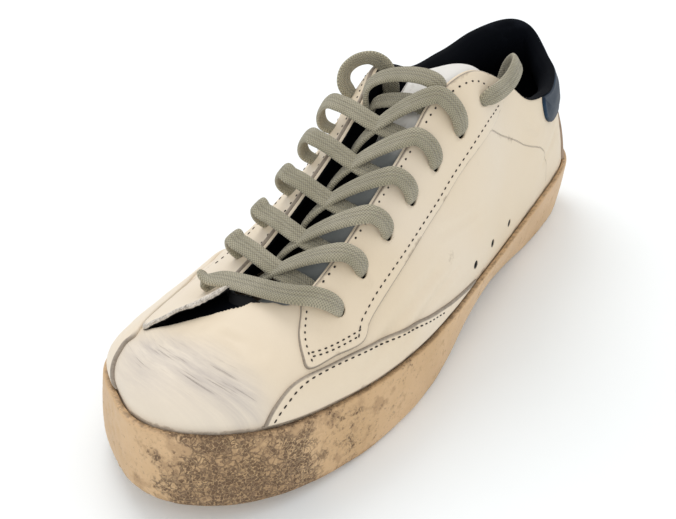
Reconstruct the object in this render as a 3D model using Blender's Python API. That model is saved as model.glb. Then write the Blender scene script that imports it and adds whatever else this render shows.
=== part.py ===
"""A worn low sneaker for the right foot: cup sole, hollow leather upper, insole, tongue, overlays and laces.

The shoe stands on z = 0 with its toe towards +X and its inner (medial) side towards +Y. Every size below is
in millimetres, with x measured from the back of the heel and y from the line through heel and toe. The
meshes are made in metres, moved by CENTRE so that the origin is under the middle of the shoe.
"""

import math
from collections import namedtuple

import bmesh
import bpy
import numpy as np

MM = 0.001
CENTRE = (151.1, -1.3, 0.0)  # middle of the shoe's box, on the floor

# ---------------------------------------------------------------- driving sizes
LENGTH = 300.0  # outsole, heel to toe
WALL = 2.0  # leather and lining of the upper
GAP = 0.35  # clearance between pieces that touch
LIP = 2.6  # thickness of the cup sole's side wall
CUP_DEPTH = 14.0  # top of the side wall down to the cup's floor
EDGE_ROUND = 2.6  # worn lower edge of the side wall
INSOLE_THICK = 3.5
OVERLAY = (0.35, 1.55)  # inner and outer face of an overlay above the upper
TAB_FACES = (0.35, 2.6)  # the same of the padded heel tab
CUTTER_REACH = 7.0  # height of an overlay's outline cutter above the upper
RISERS = 9  # stations from the sole to the rim
GROOVE_WIDE = 3.2
GROOVE_DEEP = 1.8
GROOVE_MARGIN = 9.0  # tread left whole between a groove and the ground edge
CORD_THICK = 4.0  # tube that stands for a free end of the lace
CORD_STEP = 8.0  # length between the tube's points

# Stations round the shoe: from, to and step of each stretch, in degrees from the heel. The corner of the
# facing has the closest ones.
STRETCHES = [(0, 72, 6.0), (72, 102, 3.0), (102, 132, 5.0), (132, 180, 6.0)]

# ---------------------------------------------------------------- tables, a row for each section
# Half widths are those of the side wall's top edge. A tuck is how far the ground edge lies inside it, and a
# lift is how far that edge is raised off the floor: toe spring in front, arch at the waist.
SoleRow = namedtuple("SoleRow", "x medial lateral medial_tuck lateral_tuck top medial_lift lateral_lift")
SOLE = [
    SoleRow(0.0, 0.0, 0.0, 2.0, 2.0, 31.5, 2.6, 2.6),
    SoleRow(3.5, 12.0, 17.0, 2.2, 2.2, 31.2, 1.6, 1.6),
    SoleRow(12.0, 21.0, 28.0, 2.6, 2.6, 30.6, 0.4, 0.4),
    SoleRow(27.0, 28.2, 34.5, 3.2, 3.0, 30.0, -0.5, -0.5),
    SoleRow(48.0, 32.4, 37.4, 4.2, 3.0, 29.6, -0.6, -0.8),
    SoleRow(75.0, 36.0, 38.8, 6.0, 3.4, 29.2, 0.6, -0.2),
    SoleRow(102.0, 39.4, 40.4, 7.6, 3.8, 28.8, 3.6, 1.4),
    SoleRow(129.0, 42.6, 43.2, 8.0, 3.4, 28.2, 5.4, 2.2),
    SoleRow(156.0, 45.4, 46.6, 6.2, 2.6, 27.6, 3.6, 1.4),
    SoleRow(180.0, 48.0, 49.8, 3.6, 2.0, 27.2, 0.9, 0.1),
    SoleRow(204.0, 49.2, 51.6, 1.6, 1.0, 27.2, -0.6, -0.8),
    SoleRow(228.0, 47.5, 50.4, 0.2, 0.0, 27.4, -0.3, -0.3),
    SoleRow(252.0, 42.7, 46.4, -1.4, -2.4, 28.8, 1.6, 1.6),
    SoleRow(270.0, 37.2, 40.2, -2.2, -3.4, 30.8, 4.0, 4.0),
    SoleRow(285.0, 28.6, 30.6, -2.6, -3.4, 33.4, 6.4, 6.4),
    SoleRow(296.0, 16.0, 12.5, -2.6, -2.8, 35.4, 8.2, 8.2),
    SoleRow(300.0, 2.0, -2.0, -2.4, -2.4, 36.0, 8.8, 8.8),
]

# A row for each profile of the upper, from the sole up to the collar or throat. turn is the place round the
# base, from 0 at the heel to 180 at the toe. rim is the end of the profile. out leans its start outwards,
# lean is its slope inwards at the rim, both in degrees from upright, and the pulls are how far each holds.
UpperRow = namedtuple("UpperRow", "place turn rim_x rim_y rim_z out low_pull lean high_pull")
MEDIAL = [
    UpperRow("heel_back", 0, 23.5, -4.0, 95.5, 0, 20, 30, 19),
    UpperRow("heel_corner", 24, 30.0, 9.0, 85.5, -4, 17, 22, 14),
    UpperRow("heel_side", 44, 43.5, 20.0, 81.0, -3, 15, 12, 12),
    UpperRow("collar_low", 62, 69.0, 27.5, 79.5, 5, 16, 10, 14),
    UpperRow("collar_front", 74, 98.0, 30.0, 86.0, 5, 16, 12, 16),
    UpperRow("facing_back", 81, 118.0, 28.5, 98.5, 4, 18, 16, 22),
    UpperRow("facing_top", 88, 140.0, 23.0, 107.5, 4, 18, 38, 22),
    UpperRow("facing_front", 94, 157.0, 18.5, 101.0, 3, 18, 46, 20),
    UpperRow("lace_upper", 101, 175.0, 18.5, 88.0, 3, 18, 46, 16),
    UpperRow("lace_middle", 110, 198.0, 19.5, 75.0, 3, 16, 48, 14),
    UpperRow("lace_lower", 120, 221.0, 20.5, 63.5, 3, 14, 54, 12),
    UpperRow("throat_corner", 131, 240.0, 19.5, 55.5, 4, 12, 62, 12),
    UpperRow("throat_side", 146, 245.5, 11.5, 54.0, 5, 12, 72, 18),
    UpperRow("toe_centre", 180, 246.5, 2.0, 53.5, 6, 13, 80, 28),
]
LATERAL = [
    UpperRow("heel_back", 0, 23.5, -4.0, 95.5, 0, 20, 30, 19),
    UpperRow("heel_corner", 24, 30.0, -15.0, 98.0, 4, 22, 24, 19),
    UpperRow("heel_side", 44, 46.5, -24.5, 93.8, 6, 20, 16, 18),
    UpperRow("collar_low", 62, 69.0, -29.5, 88.0, 5, 18, 12, 16),
    UpperRow("collar_front", 74, 97.0, -30.0, 88.0, 5, 18, 14, 18),
    UpperRow("facing_back", 81, 118.0, -27.0, 95.5, 4, 18, 18, 20),
    UpperRow("facing_top", 88, 140.0, -20.0, 100.5, 4, 18, 40, 22),
    UpperRow("facing_front", 94, 157.0, -13.5, 95.0, 3, 18, 46, 20),
    UpperRow("lace_upper", 101, 175.0, -11.5, 84.0, 3, 18, 44, 16),
    UpperRow("lace_middle", 110, 198.0, -11.5, 70.0, 3, 16, 40, 13),
    UpperRow("lace_lower", 120, 221.0, -12.0, 57.5, 3, 14, 38, 11),
    UpperRow("throat_corner", 131, 240.0, -12.0, 50.8, 4, 12, 42, 11),
    UpperRow("throat_side", 146, 245.5, -7.0, 51.8, 5, 12, 60, 17),
    UpperRow("toe_centre", 180, 246.5, 2.0, 53.5, 6, 13, 80, 28),
]


# A row for each place along an overlay: its lower and upper outline on the upper, as the turn in degrees
# from the heel on either side and the level, 0 at the sole and 1 at the rim. Levels past 1 run off the rim.
BandRow = namedtuple("BandRow", "low_turn low_level high_turn high_level")
EYESTAY_MEDIAL = [
    BandRow(80.0, 1.10, 82.0, 1.2),
    BandRow(82.5, 0.84, 86.0, 1.2),
    BandRow(87.5, 0.68, 90.0, 1.2),
    BandRow(96.0, 0.60, 98.0, 1.2),
    BandRow(105.0, 0.57, 107.0, 1.2),
    BandRow(114.0, 0.53, 115.0, 1.2),
    BandRow(120.5, 0.47, 120.0, 1.2),
    BandRow(124.0, 0.38, 123.0, 1.2),
    BandRow(130.0, 0.42, 125.0, 1.2),
    BandRow(136.0, 0.43, 127.0, 1.2),
    BandRow(136.8, 0.56, 128.0, 1.2),
    BandRow(136.0, 0.74, 129.0, 1.2),
    BandRow(132.5, 0.92, 130.0, 1.2),
    BandRow(131.0, 1.10, 130.5, 1.2),
]
EYESTAY_LATERAL = [
    BandRow(80.0, 1.10, 82.0, 1.2),
    BandRow(82.5, 0.84, 86.0, 1.2),
    BandRow(87.5, 0.68, 90.0, 1.2),
    BandRow(96.0, 0.60, 98.0, 1.2),
    BandRow(105.0, 0.57, 107.0, 1.2),
    BandRow(114.0, 0.53, 115.0, 1.2),
    BandRow(121.0, 0.47, 123.0, 1.2),
    BandRow(130.0, 0.43, 131.0, 1.2),
    BandRow(142.0, 0.44, 138.0, 1.2),
    BandRow(153.0, 0.45, 144.0, 1.2),
    BandRow(156.6, 0.57, 148.0, 1.2),
    BandRow(160.0, 0.72, 151.0, 1.2),
    BandRow(162.6, 0.85, 154.0, 1.2),
    BandRow(161.4, 0.96, 155.5, 1.2),
    BandRow(157.5, 1.10, 157.0, 1.2),
]
FOXING_MEDIAL = [
    BandRow(92.0, 0.02, 92.5, 0.03),
    BandRow(98.0, 0.02, 98.0, 0.07),
    BandRow(104.0, 0.02, 104.0, 0.12),
    BandRow(112.0, 0.02, 112.0, 0.21),
    BandRow(119.0, 0.02, 119.0, 0.29),
    BandRow(125.0, 0.02, 125.0, 0.35),
    BandRow(131.0, 0.02, 131.0, 0.385),
    BandRow(137.0, 0.02, 137.0, 0.39),
    BandRow(141.5, 0.02, 141.5, 0.33),
    BandRow(145.5, 0.02, 145.0, 0.19),
    BandRow(147.5, 0.02, 147.0, 0.03),
]
FOXING_LATERAL = [
    BandRow(92.0, 0.02, 92.5, 0.03),
    BandRow(98.0, 0.02, 98.0, 0.07),
    BandRow(104.0, 0.02, 104.0, 0.12),
    BandRow(112.0, 0.02, 112.0, 0.21),
    BandRow(120.0, 0.02, 120.0, 0.30),
    BandRow(128.0, 0.02, 128.0, 0.38),
    BandRow(140.0, 0.02, 140.0, 0.41),
    BandRow(152.0, 0.02, 152.0, 0.42),
    BandRow(157.5, 0.02, 157.0, 0.33),
    BandRow(161.5, 0.02, 160.5, 0.18),
    BandRow(164.5, 0.02, 164.0, 0.03),
]
# The counter and the tab wrap the heel, so their tables run from the middle of the heel to one end.
COUNTER = [
    BandRow(0.0, 0.02, 0.0, 0.52),
    BandRow(8.0, 0.02, 8.0, 0.52),
    BandRow(16.5, 0.02, 16.5, 0.52),
    BandRow(21.0, 0.02, 20.5, 0.45),
    BandRow(26.0, 0.02, 25.5, 0.32),
    BandRow(30.5, 0.02, 30.0, 0.15),
    BandRow(34.0, 0.02, 33.5, 0.03),
]
TAB = [
    BandRow(0.0, 0.555, 0.0, 1.2),
    BandRow(12.0, 0.555, 12.0, 1.2),
    BandRow(24.0, 0.56, 24.0, 1.2),
    BandRow(36.0, 0.57, 36.0, 1.2),
    BandRow(47.0, 0.595, 47.0, 1.2),
    BandRow(55.0, 0.65, 54.0, 1.2),
    BandRow(61.0, 0.76, 59.0, 1.2),
    BandRow(64.0, 0.90, 62.5, 1.2),
    BandRow(65.0, 1.10, 64.8, 1.2),
]

# A row for each section of the tongue, which has slid to the inner side: where it lies along the throat,
# how far its inner edge reaches under the facing, as a level, how far it is shifted forward and up, how far
# its outer edge has sunk, and the share of the throat at which that edge lies.
TongueRow = namedtuple("TongueRow", "turn edge_level forward up sink far")
TONGUE = [
    TongueRow(150.0, 0.90, 9.0, -2.6, 0.0, 0.92),
    TongueRow(146.0, 0.88, 2.0, -2.0, 1.0, 0.86),
    TongueRow(136.0, 0.80, 0.0, -2.8, 3.0, 0.74),
    TongueRow(127.0, 0.72, 0.0, -3.2, 4.0, 0.66),
    TongueRow(118.0, 0.68, 0.0, -3.2, 4.0, 0.62),
    TongueRow(109.0, 0.66, 0.0, -3.2, 4.0, 0.60),
    TongueRow(101.0, 0.66, 0.0, -3.2, 4.0, 0.61),
    TongueRow(94.0, 0.68, 0.0, -3.0, 3.5, 0.64),
    TongueRow(90.5, 0.72, -9.0, -1.2, 3.0, 0.70),
    TongueRow(90.5, 0.76, -22.0, 0.6, 2.5, 0.78),
    TongueRow(90.5, 0.84, -32.0, -1.5, 2.0, 0.84),
]
TONGUE_THICK = 3.0

# Eyelets of either side, from the toe up: the turn and level of each.
EYELETS = [
    (125.2, 0.69),
    (118.0, 0.755),
    (111.0, 0.768),
    (104.6, 0.765),
    (98.4, 0.758),
    (92.5, 0.765),
    (87.2, 0.84),
]
LACE_WIDE = 7.2
LACE_THICK = 2.2

LATERAL_SLIDE = 3.2  # how far the loose lateral facing has slid towards the toe, in degrees of turn
LACE_CROWN = 0.12
TONGUE_CROWN = 0.2
TONGUE_EDGE = 1.8  # how far the tongue's outer edge curls down

# Runs of the lace: part is the way from one row of eyelets to the next, across the way over the throat from
# the side that the run leaves, as in over_throat(), and height its middle above the facings.
LaceStation = namedtuple("LaceStation", "part across height")
TO_MEDIAL = [
    LaceStation(0.20, 0.42, -2.6),
    LaceStation(0.32, 0.54, -0.6),
    LaceStation(0.47, 0.69, 2.0),
    LaceStation(0.60, 0.84, 3.9),
    LaceStation(0.74, 1.06, 5.0),
    LaceStation(0.87, 1.36, 5.0),
    LaceStation(0.95, 1.65, 4.4),
    LaceStation(1.00, 1.98, 3.6),
]
TO_LATERAL = [
    LaceStation(0.00, 0.28, -2.8),
    LaceStation(0.10, 0.42, -2.2),
    LaceStation(0.20, 0.54, -1.2),
    LaceStation(0.36, 0.69, 1.6),
    LaceStation(0.52, 0.82, 5.0),
    LaceStation(0.68, 0.98, 8.0),
    LaceStation(0.82, 1.22, 9.4),
    LaceStation(0.93, 1.52, 9.6),
    LaceStation(0.99, 1.80, 7.8),
    LaceStation(1.00, 1.98, 4.6),
]
FIRST_BAR = [
    LaceStation(0.36, -0.62, 4.2),
    LaceStation(0.52, -0.40, 5.8),
    LaceStation(0.62, -0.05, 6.8),
    LaceStation(0.70, 0.35, 6.8),
    LaceStation(0.70, 0.65, 5.6),
    LaceStation(0.62, 0.93, 4.8),
    LaceStation(0.40, 1.25, 4.8),
    LaceStation(0.18, 1.62, 4.4),
    LaceStation(0.00, 1.98, 3.6),
]
TOP_ARC = [
    LaceStation(0.14, 0.12, -0.6),
    LaceStation(0.20, 0.22, 3.4),
    LaceStation(0.27, 0.36, 5.8),
    LaceStation(0.28, 0.51, 6.2),
    LaceStation(0.20, 0.68, 5.2),
    LaceStation(0.08, 0.84, 3.0),
    LaceStation(0.03, 0.94, 1.6),
]
TOP_FLAT = [
    LaceStation(-0.43, 0.16, -2.6),
    LaceStation(-0.28, 0.32, -2.4),
    LaceStation(-0.12, 0.51, -2.2),
    LaceStation(0.03, 0.70, -1.8),
    LaceStation(0.13, 0.87, -1.2),
]

# Routes of the lace's two free ends: from the top eyelet over the rim and down into the shoe.
RoutePoint = namedtuple("RoutePoint", "x y z")
LACE_END_MEDIAL = [
    RoutePoint(138.6, 33.6, 99.6),
    RoutePoint(133.8, 34.2, 101.6),
    RoutePoint(128.6, 34.3, 103.8),
    RoutePoint(123.4, 33.8, 105.8),
    RoutePoint(118.2, 32.4, 107.4),
    RoutePoint(112.8, 30.2, 108.2),
    RoutePoint(107.6, 27.4, 107.0),
    RoutePoint(104.2, 24.0, 103.4),
    RoutePoint(102.4, 21.8, 98.4),
    RoutePoint(101.6, 20.6, 92.8),
    RoutePoint(101.2, 20.0, 87.2),
]
LACE_END_LATERAL = [
    RoutePoint(149.2, -26.8, 92.6),
    RoutePoint(149.2, -29.4, 96.6),
    RoutePoint(147.2, -29.2, 100.8),
    RoutePoint(144.0, -26.2, 104.2),
    RoutePoint(141.0, -21.6, 105.2),
    RoutePoint(138.4, -17.8, 103.2),
    RoutePoint(136.6, -15.8, 99.2),
    RoutePoint(135.4, -15.0, 94.6),
    RoutePoint(134.6, -14.8, 90.0),
    RoutePoint(134.0, -14.8, 85.4),
    RoutePoint(133.6, -14.8, 80.8),
]

# Places along the shoe of the grooves across the tread: under the heel, then under the ball and toes.
GROOVES = [18.0, 29.0, 40.0, 51.0, 62.0]
GROOVES += [168.0, 179.0, 190.0, 201.0, 212.0, 223.0, 234.0, 245.0, 256.0, 267.0]


# ---------------------------------------------------------------- smooth closed tables
def closed_curve(turns, values, at):
    """Cubic curve through values at the rising turns (radians), closed after a full turn, read at at."""
    turns = np.asarray(turns, float)
    values = np.asarray(values, float)
    around = 2 * math.pi
    knots = np.concatenate([[turns[-1] - around], turns, [turns[0] + around, turns[1] + around]])
    heights = np.concatenate([[values[-1]], values, [values[0], values[1]]])
    steps = np.diff(knots)
    rises = np.diff(heights) / steps
    slopes = (rises[:-1] * steps[1:] + rises[1:] * steps[:-1]) / (steps[:-1] + steps[1:])
    at = np.mod(np.asarray(at, float) - turns[0], around) + turns[0]
    i = np.clip(np.searchsorted(knots, at, side="right") - 1, 1, len(turns))
    t = (at - knots[i]) / steps[i]
    low = (1 + 2 * t) * (1 - t) ** 2 * heights[i] + t * (1 - t) ** 2 * steps[i] * slopes[i - 1]
    high = t * t * (3 - 2 * t) * heights[i + 1] + t * t * (t - 1) * steps[i] * slopes[i]
    return low + high


def sole_value(at, medial_of, lateral_of):
    """A column of the sole's table read round the shoe: medial rows going forward, lateral ones back."""
    turns = [math.acos(1 - 2 * row.x / LENGTH) for row in SOLE]
    values = [medial_of(row) for row in SOLE]
    turns += [2 * math.pi - turn for turn in turns[-2:0:-1]]
    values += [lateral_of(row) for row in SOLE[-2:0:-1]]
    return closed_curve(turns, values, at)


def top_edge(at):
    """(points, outward normals) of the top edge of the side wall, seen from above."""

    def place(turn):
        x = LENGTH / 2 * (1 - np.cos(turn))
        y = sole_value(turn, lambda row: row.medial, lambda row: -row.lateral)
        return np.stack([x, y], -1)

    at = np.asarray(at, float)
    along = place(at + 0.01) - place(at - 0.01)
    along /= np.linalg.norm(along, axis=-1, keepdims=True)
    return place(at), np.stack([-along[..., 1], along[..., 0]], -1)


def edge_top(at):
    return sole_value(at, lambda row: row.top, lambda row: row.top)


def edge_lift(at):
    """Height of the ground edge: what the table puts under the floor is worn flat on it."""
    return np.maximum(sole_value(at, lambda row: row.medial_lift, lambda row: row.lateral_lift), 0.0)


def edge_tuck(at):
    return sole_value(at, lambda row: row.medial_tuck, lambda row: row.lateral_tuck)


def side_wall(at, height, inset):
    """Points at a share of the side wall's height, 0 at the ground and 1 at its top, moved in by inset."""
    place, outward = top_edge(at)
    z = edge_lift(at) + (edge_top(at) - edge_lift(at)) * height
    flat = place - outward * (inset + edge_tuck(at) * (1 - height))[..., None]
    return np.concatenate([flat, z[..., None]], -1)


def cup_wall(at, drop, inset):
    """Points drop millimetres under the side wall's top edge, inset from its outside."""
    height = 1 - drop / (edge_top(at) - edge_lift(at))
    return side_wall(at, height, inset + np.zeros_like(height))


# ---------------------------------------------------------------- the upper's own surface
def upper_value(at, column):
    turns = [math.radians(row.turn) for row in MEDIAL]
    turns += [2 * math.pi - math.radians(row.turn) for row in LATERAL[-2:0:-1]]
    values = [getattr(row, column) for row in MEDIAL + LATERAL[-2:0:-1]]
    return closed_curve(turns, values, at)


def skin(at, level):
    """The upper's outer surface: at is the turn round the shoe, level 0 is the sole and 1 the rim."""
    at, level = np.broadcast_arrays(np.asarray(at, float), np.asarray(level, float))
    _, outward = top_edge(at)
    start = cup_wall(at, 0.0, LIP + GAP)
    rim = np.stack([upper_value(at, column) for column in ("rim_x", "rim_y", "rim_z")], -1)
    inward = rim[..., :2] - start[..., :2]
    inward /= np.linalg.norm(inward, axis=-1, keepdims=True)
    out = np.radians(upper_value(at, "out"))[..., None]
    lean = np.radians(upper_value(at, "lean"))[..., None]
    rise = np.concatenate([outward * np.sin(out), np.cos(out)], -1)
    fall = np.concatenate([inward * np.sin(lean), np.cos(lean)], -1)
    low = start + rise * upper_value(at, "low_pull")[..., None]
    high = rim - fall * upper_value(at, "high_pull")[..., None]
    t = level[..., None]
    return start * (1 - t) ** 3 + low * 3 * t * (1 - t) ** 2 + high * 3 * t * t * (1 - t) + rim * t**3


def skin_normal(at, level):
    """Unit normal of the upper's outer surface, pointing outwards."""
    level = np.asarray(level, float)
    low = np.clip(level - 0.01, 0, 1)
    high = np.clip(level + 0.01, 0, 1)
    along = skin(at + 0.01, level) - skin(at - 0.01, level)
    up = skin(at, high) - skin(at, low)
    normal = np.cross(up, along)
    return normal / np.linalg.norm(normal, axis=-1, keepdims=True)


def raised(at, level, height):
    """The upper's surface moved out along its normal by height, or in where height is negative."""
    at, level = np.broadcast_arrays(np.asarray(at, float), np.asarray(level, float))
    return skin(at, level) + skin_normal(at, level) * height


def turns_round():
    """The stations' turns in radians: up the medial side and back down the lateral one."""
    side = np.concatenate([np.arange(first, last, step) for first, last, step in STRETCHES])
    return np.radians(np.concatenate([side, [180.0], 360 - side[:0:-1]]))


# ---------------------------------------------------------------- meshes
def add_material(name, colour, roughness):
    material = bpy.data.materials.new(name)
    material.use_nodes = True
    shader = material.node_tree.nodes["Principled BSDF"]
    shader.inputs["Base Color"].default_value = (*colour, 1)
    shader.inputs["Roughness"].default_value = roughness
    return material


def add_object(name, points, faces, material):
    """A mesh object from points in millimetres, with its faces turned outwards."""
    mesh = bpy.data.meshes.new(name)
    mesh.from_pydata([tuple(point) for point in (np.asarray(points) - CENTRE) * MM], [], faces)
    form = bmesh.new()
    form.from_mesh(mesh)
    bmesh.ops.recalc_face_normals(form, faces=form.faces)
    if form.calc_volume(signed=True) < 0:
        bmesh.ops.reverse_faces(form, faces=form.faces)
    form.to_mesh(mesh)
    form.free()
    if material:
        mesh.materials.append(material)
    mesh.shade_smooth()
    mesh.set_sharp_from_angle(angle=math.radians(40))
    obj = bpy.data.objects.new(name, mesh)
    bpy.context.scene.collection.objects.link(obj)
    return obj


def hidden(obj):
    """A cutter or a part that is joined to another, left out of the model itself."""
    obj.hide_render = True
    obj.display_type = "WIRE"
    return obj


def ring_faces(rings, count, closed=False):
    """Triangles between neighbouring rings of count points; closed also joins the last ring to the first.

    Their diagonals all run the same way, so that shells over one another keep their clearance.
    """
    faces = []
    for ring in range(rings if closed else rings - 1):
        first = ring * count
        second = (ring + 1) % rings * count
        for i in range(count):
            j = (i + 1) % count
            faces.append((first + i, first + j, second + j))
            faces.append((first + i, second + j, second + i))
    return faces


def cap_faces(first, count):
    """Strips from the medial half of a ring to the lateral half, both running from the heel to the toe."""
    half = count // 2
    faces = [(first, first + 1, first + count - 1)]
    for i in range(1, half - 1):
        faces.append((first + i, first + i + 1, first + count - i - 1, first + count - i))
    faces.append((first + half - 1, first + half, first + half + 1))
    return faces


def make_sole(material):
    """Side wall with a rounded ground edge, a rolled lip and a cup that follows the wall's top edge."""
    at = turns_round()
    side = edge_top(at) - edge_lift(at)
    ground = side_wall(at, 0 * at, EDGE_ROUND + 0 * at)
    rings = [
        ground,
        side_wall(at, EDGE_ROUND * 0.3 / side, EDGE_ROUND * 0.3 + 0 * at),
        side_wall(at, EDGE_ROUND / side, 0 * at),
        side_wall(at, 0.5 + 0 * at, -0.5 + 0 * at),
        cup_wall(at, 0.9, 0.0),
        cup_wall(at, 0.0, 0.9),
        cup_wall(at, 0.0, LIP - 0.4),
        cup_wall(at, 0.6, LIP),
        cup_wall(at, CUP_DEPTH, LIP),
    ]
    faces = ring_faces(len(rings), len(at))
    faces += [tuple(reversed(face)) for face in cap_faces(0, len(at))]
    faces += cap_faces((len(rings) - 1) * len(at), len(at))
    sole = add_object("sole", np.concatenate(rings), faces, material)
    cut = sole.modifiers.new("tread", "BOOLEAN")
    cut.operation = "DIFFERENCE"
    cut.object = make_grooves()
    return sole


def groove_end(x, side):
    """Section of a groove at its medial (1) or lateral (-1) end, from under the floor to its bottom."""
    edge = side_wall(side * math.acos(1 - 2 * x / LENGTH), 0.0, EDGE_ROUND)
    back, front = x - GROOVE_WIDE / 2, x + GROOVE_WIDE / 2
    y = edge[1] - side * GROOVE_MARGIN
    bottom = edge[2] + GROOVE_DEEP
    return [(back, y, -GROOVE_DEEP), (front, y, -GROOVE_DEEP), (front, y, bottom), (back, y, bottom)]


def make_grooves():
    """Cutter for all grooves of the tread, a bar for each."""
    points = []
    faces = []
    for x in GROOVES:
        first = len(points)
        points += groove_end(x, 1) + groove_end(x, -1)
        for face in ring_faces(2, 4) + [(0, 1, 2, 3), (4, 5, 6, 7)]:
            faces.append(tuple(first + i for i in face))
    return hidden(add_object("tread_grooves", points, faces, None))


def make_upper(material):
    """Hollow wall from the cup's floor to the rim of collar and throat, open above and below."""
    at = turns_round()
    levels = np.linspace(0, 1, RISERS)
    depth = CUP_DEPTH - GAP
    outer = [cup_wall(at, depth, LIP + GAP)]
    inner = [cup_wall(at, depth, LIP + GAP + WALL)]
    for level in levels:
        outer.append(skin(at, level))
        inner.append(raised(at, level, -WALL))
    rings = outer + inner[::-1]
    return add_object("upper", np.concatenate(rings), ring_faces(len(rings), len(at), closed=True), material)


def make_insole(material):
    """Flat board on the cup's floor, inside the upper's lower edge."""
    at = turns_round()
    inset = LIP + WALL + 3 * GAP
    low = CUP_DEPTH - GAP
    rings = [cup_wall(at, low, inset), cup_wall(at, low - INSOLE_THICK, inset)]
    faces = ring_faces(2, len(at))
    faces += cap_faces(0, len(at)) + cap_faces(len(at), len(at))
    return add_object("insole", np.concatenate(rings), faces, material)


def loft(name, rings, material, closed=False):
    """A solid through rings of points, capped at both ends by a fan unless it closes on itself."""
    count = len(rings[0])
    faces = ring_faces(len(rings), count, closed)
    if not closed:
        last = (len(rings) - 1) * count
        faces += [tuple(range(count)), tuple(last + i for i in range(count))]
    return add_object(name, np.concatenate(rings), faces, material)


# ---------------------------------------------------------------- overlays
def smooth_rows(rows, columns, count):
    """The named columns of a table as smooth curves, count steps between neighbouring rows."""
    table = np.array([[getattr(row, column) for column in columns] for row in rows])
    slopes = np.gradient(table, axis=0)
    out = []
    for i in range(len(rows) - 1):
        for step in range(count):
            t = step / count
            near = (1 + 2 * t) * (1 - t) ** 2 * table[i] + t * (1 - t) ** 2 * slopes[i]
            far = t * t * (3 - 2 * t) * table[i + 1] + t * t * (t - 1) * slopes[i + 1]
            out.append(near + far)
    out.append(table[-1])
    return np.array(out).T


def beyond(at, level, height):
    """raised(), continued straight on past the rim."""
    inside = np.minimum(level, 1.0)
    past = np.maximum(level - 1.0, 0.0)[..., None]
    slope = (skin(at, 1.0 + 0 * level) - skin(at, 0.95 + 0 * level)) / 0.05
    return raised(at, inside, height) + slope * past


def make_cutter(name, rows, side, both_sides):
    """Closed solid over a band of the upper, from just under its surface to well above it."""
    low_turn, low_level, high_turn, high_level = smooth_rows(rows, BandRow._fields, 2)
    if both_sides:
        low_turn, high_turn = (np.concatenate([-turn[:0:-1], turn]) for turn in (low_turn, high_turn))
        low_level, high_level = (np.concatenate([level[:0:-1], level]) for level in (low_level, high_level))
    share = np.linspace(0, 1, 5)
    rings = []
    for i in range(len(low_turn)):
        at = np.radians(low_turn[i] + (high_turn[i] - low_turn[i]) * share) * side
        level = low_level[i] + (high_level[i] - low_level[i]) * share
        under = beyond(at, level, -0.6)
        over = beyond(at, level, CUTTER_REACH)
        rings.append(np.concatenate([under, over[::-1]]))
    return hidden(loft(name, rings, None))


def make_overlay(name, rows, side, material, faces_at=OVERLAY, lift=None, both_sides=False):
    """The part of a shell over the upper, between two heights, that lies inside the outline."""
    at = turns_round()
    rings = []
    for height in faces_at:
        ring = []
        for level in np.linspace(0, 1, RISERS):
            extra = lift(at, level) if lift else 0 * at
            ring.append(raised(at, max(level, 0.012), (height + extra)[..., None]))
        rings.append(ring if height == faces_at[0] else ring[::-1])
    shell = loft(name, rings[0] + rings[1], material, closed=True)
    cut = shell.modifiers.new("outline", "BOOLEAN")
    cut.operation = "INTERSECT"
    cut.object = make_cutter(name + "_outline", rows, side, both_sides)
    return shell


def torn_lift(at, level):
    """How far the torn front end of the lateral facing stands off the vamp."""
    turn = 360 - np.degrees(at)
    front = np.clip((turn - 137) / 20, 0, 1.1)
    return 3.2 * front**2 * np.clip((level - 0.42) / 0.25, 0, 1)


# ---------------------------------------------------------------- tongue and laces
def rim_slope(at):
    """Unit direction in which the skin runs off the rim."""
    slope = skin(at, 1.0) - skin(at, 0.97)
    return slope / np.linalg.norm(slope)


def bridge(turn, share, height, crown=0.34):
    """A point over the throat at one turn: share 0 at the medial rim, 1 at the lateral rim."""
    at = math.radians(turn)
    start = raised(at, 1.0, height)
    end = raised(-at, 1.0, height)
    pull = np.linalg.norm(end - start) * crown
    near = start + rim_slope(at) * pull
    far = end + rim_slope(-at) * pull
    t = share
    return start * (1 - t) ** 3 + near * 3 * t * (1 - t) ** 2 + far * 3 * t * t * (1 - t) + end * t**3


def soft(value, low, high):
    """Soft step from 0 at low to 1 at high."""
    t = np.clip((value - low) / (high - low), 0, 1)
    return t * t * (3 - 2 * t)


def make_tongue(material):
    """Arched tongue: its inner edge lies under the medial facing, its outer edge sags free in the throat."""
    rings = []
    for turn, edge, forward, up, sink, far in smooth_rows(TONGUE, TongueRow._fields, 1).T:
        at = math.radians(turn)
        tucked = np.linspace(edge, 1, 4)[:-1]
        shown = np.linspace(0, 1, 7)
        droop = sink * soft(shown, 0.15, 1.0) + TONGUE_EDGE * soft(shown, 0.9, 1.0)
        sag = np.concatenate([0 * tucked, droop])
        faces = []
        for height in (-WALL - GAP, -WALL - GAP - TONGUE_THICK):
            medial = [raised(at, level, height) for level in tucked]
            middle = [bridge(turn, share * far, height, TONGUE_CROWN) for share in shown]
            faces.append(np.array(medial + middle) + np.array([forward, 0.0, up]) - sag[:, None] * [0, 0, 1])
        rings.append(np.concatenate([faces[0], faces[1][::-1]]))
    return loft("tongue", rings, material)


def over_throat(turn, across, height):
    """A point above the facings and the throat.

    Across runs from -1, an eyelet's row on the medial side, through 0 and 1, the rims, to 2, an eyelet's row
    on the lateral side, which has slid a little towards the toe.
    """
    row = np.interp(turn, [pair[0] for pair in EYELETS[::-1]], [pair[1] for pair in EYELETS[::-1]])
    turn = turn + LATERAL_SLIDE * min(max(across, 0.0), 1.0)
    at = math.radians(turn)
    if across < 0:
        return raised(at, 1 + (1 - row) * across, height)
    if across > 1:
        return raised(-at, 1 - (1 - row) * (across - 1), height)
    return bridge(turn, across, height, LACE_CROWN)


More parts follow.
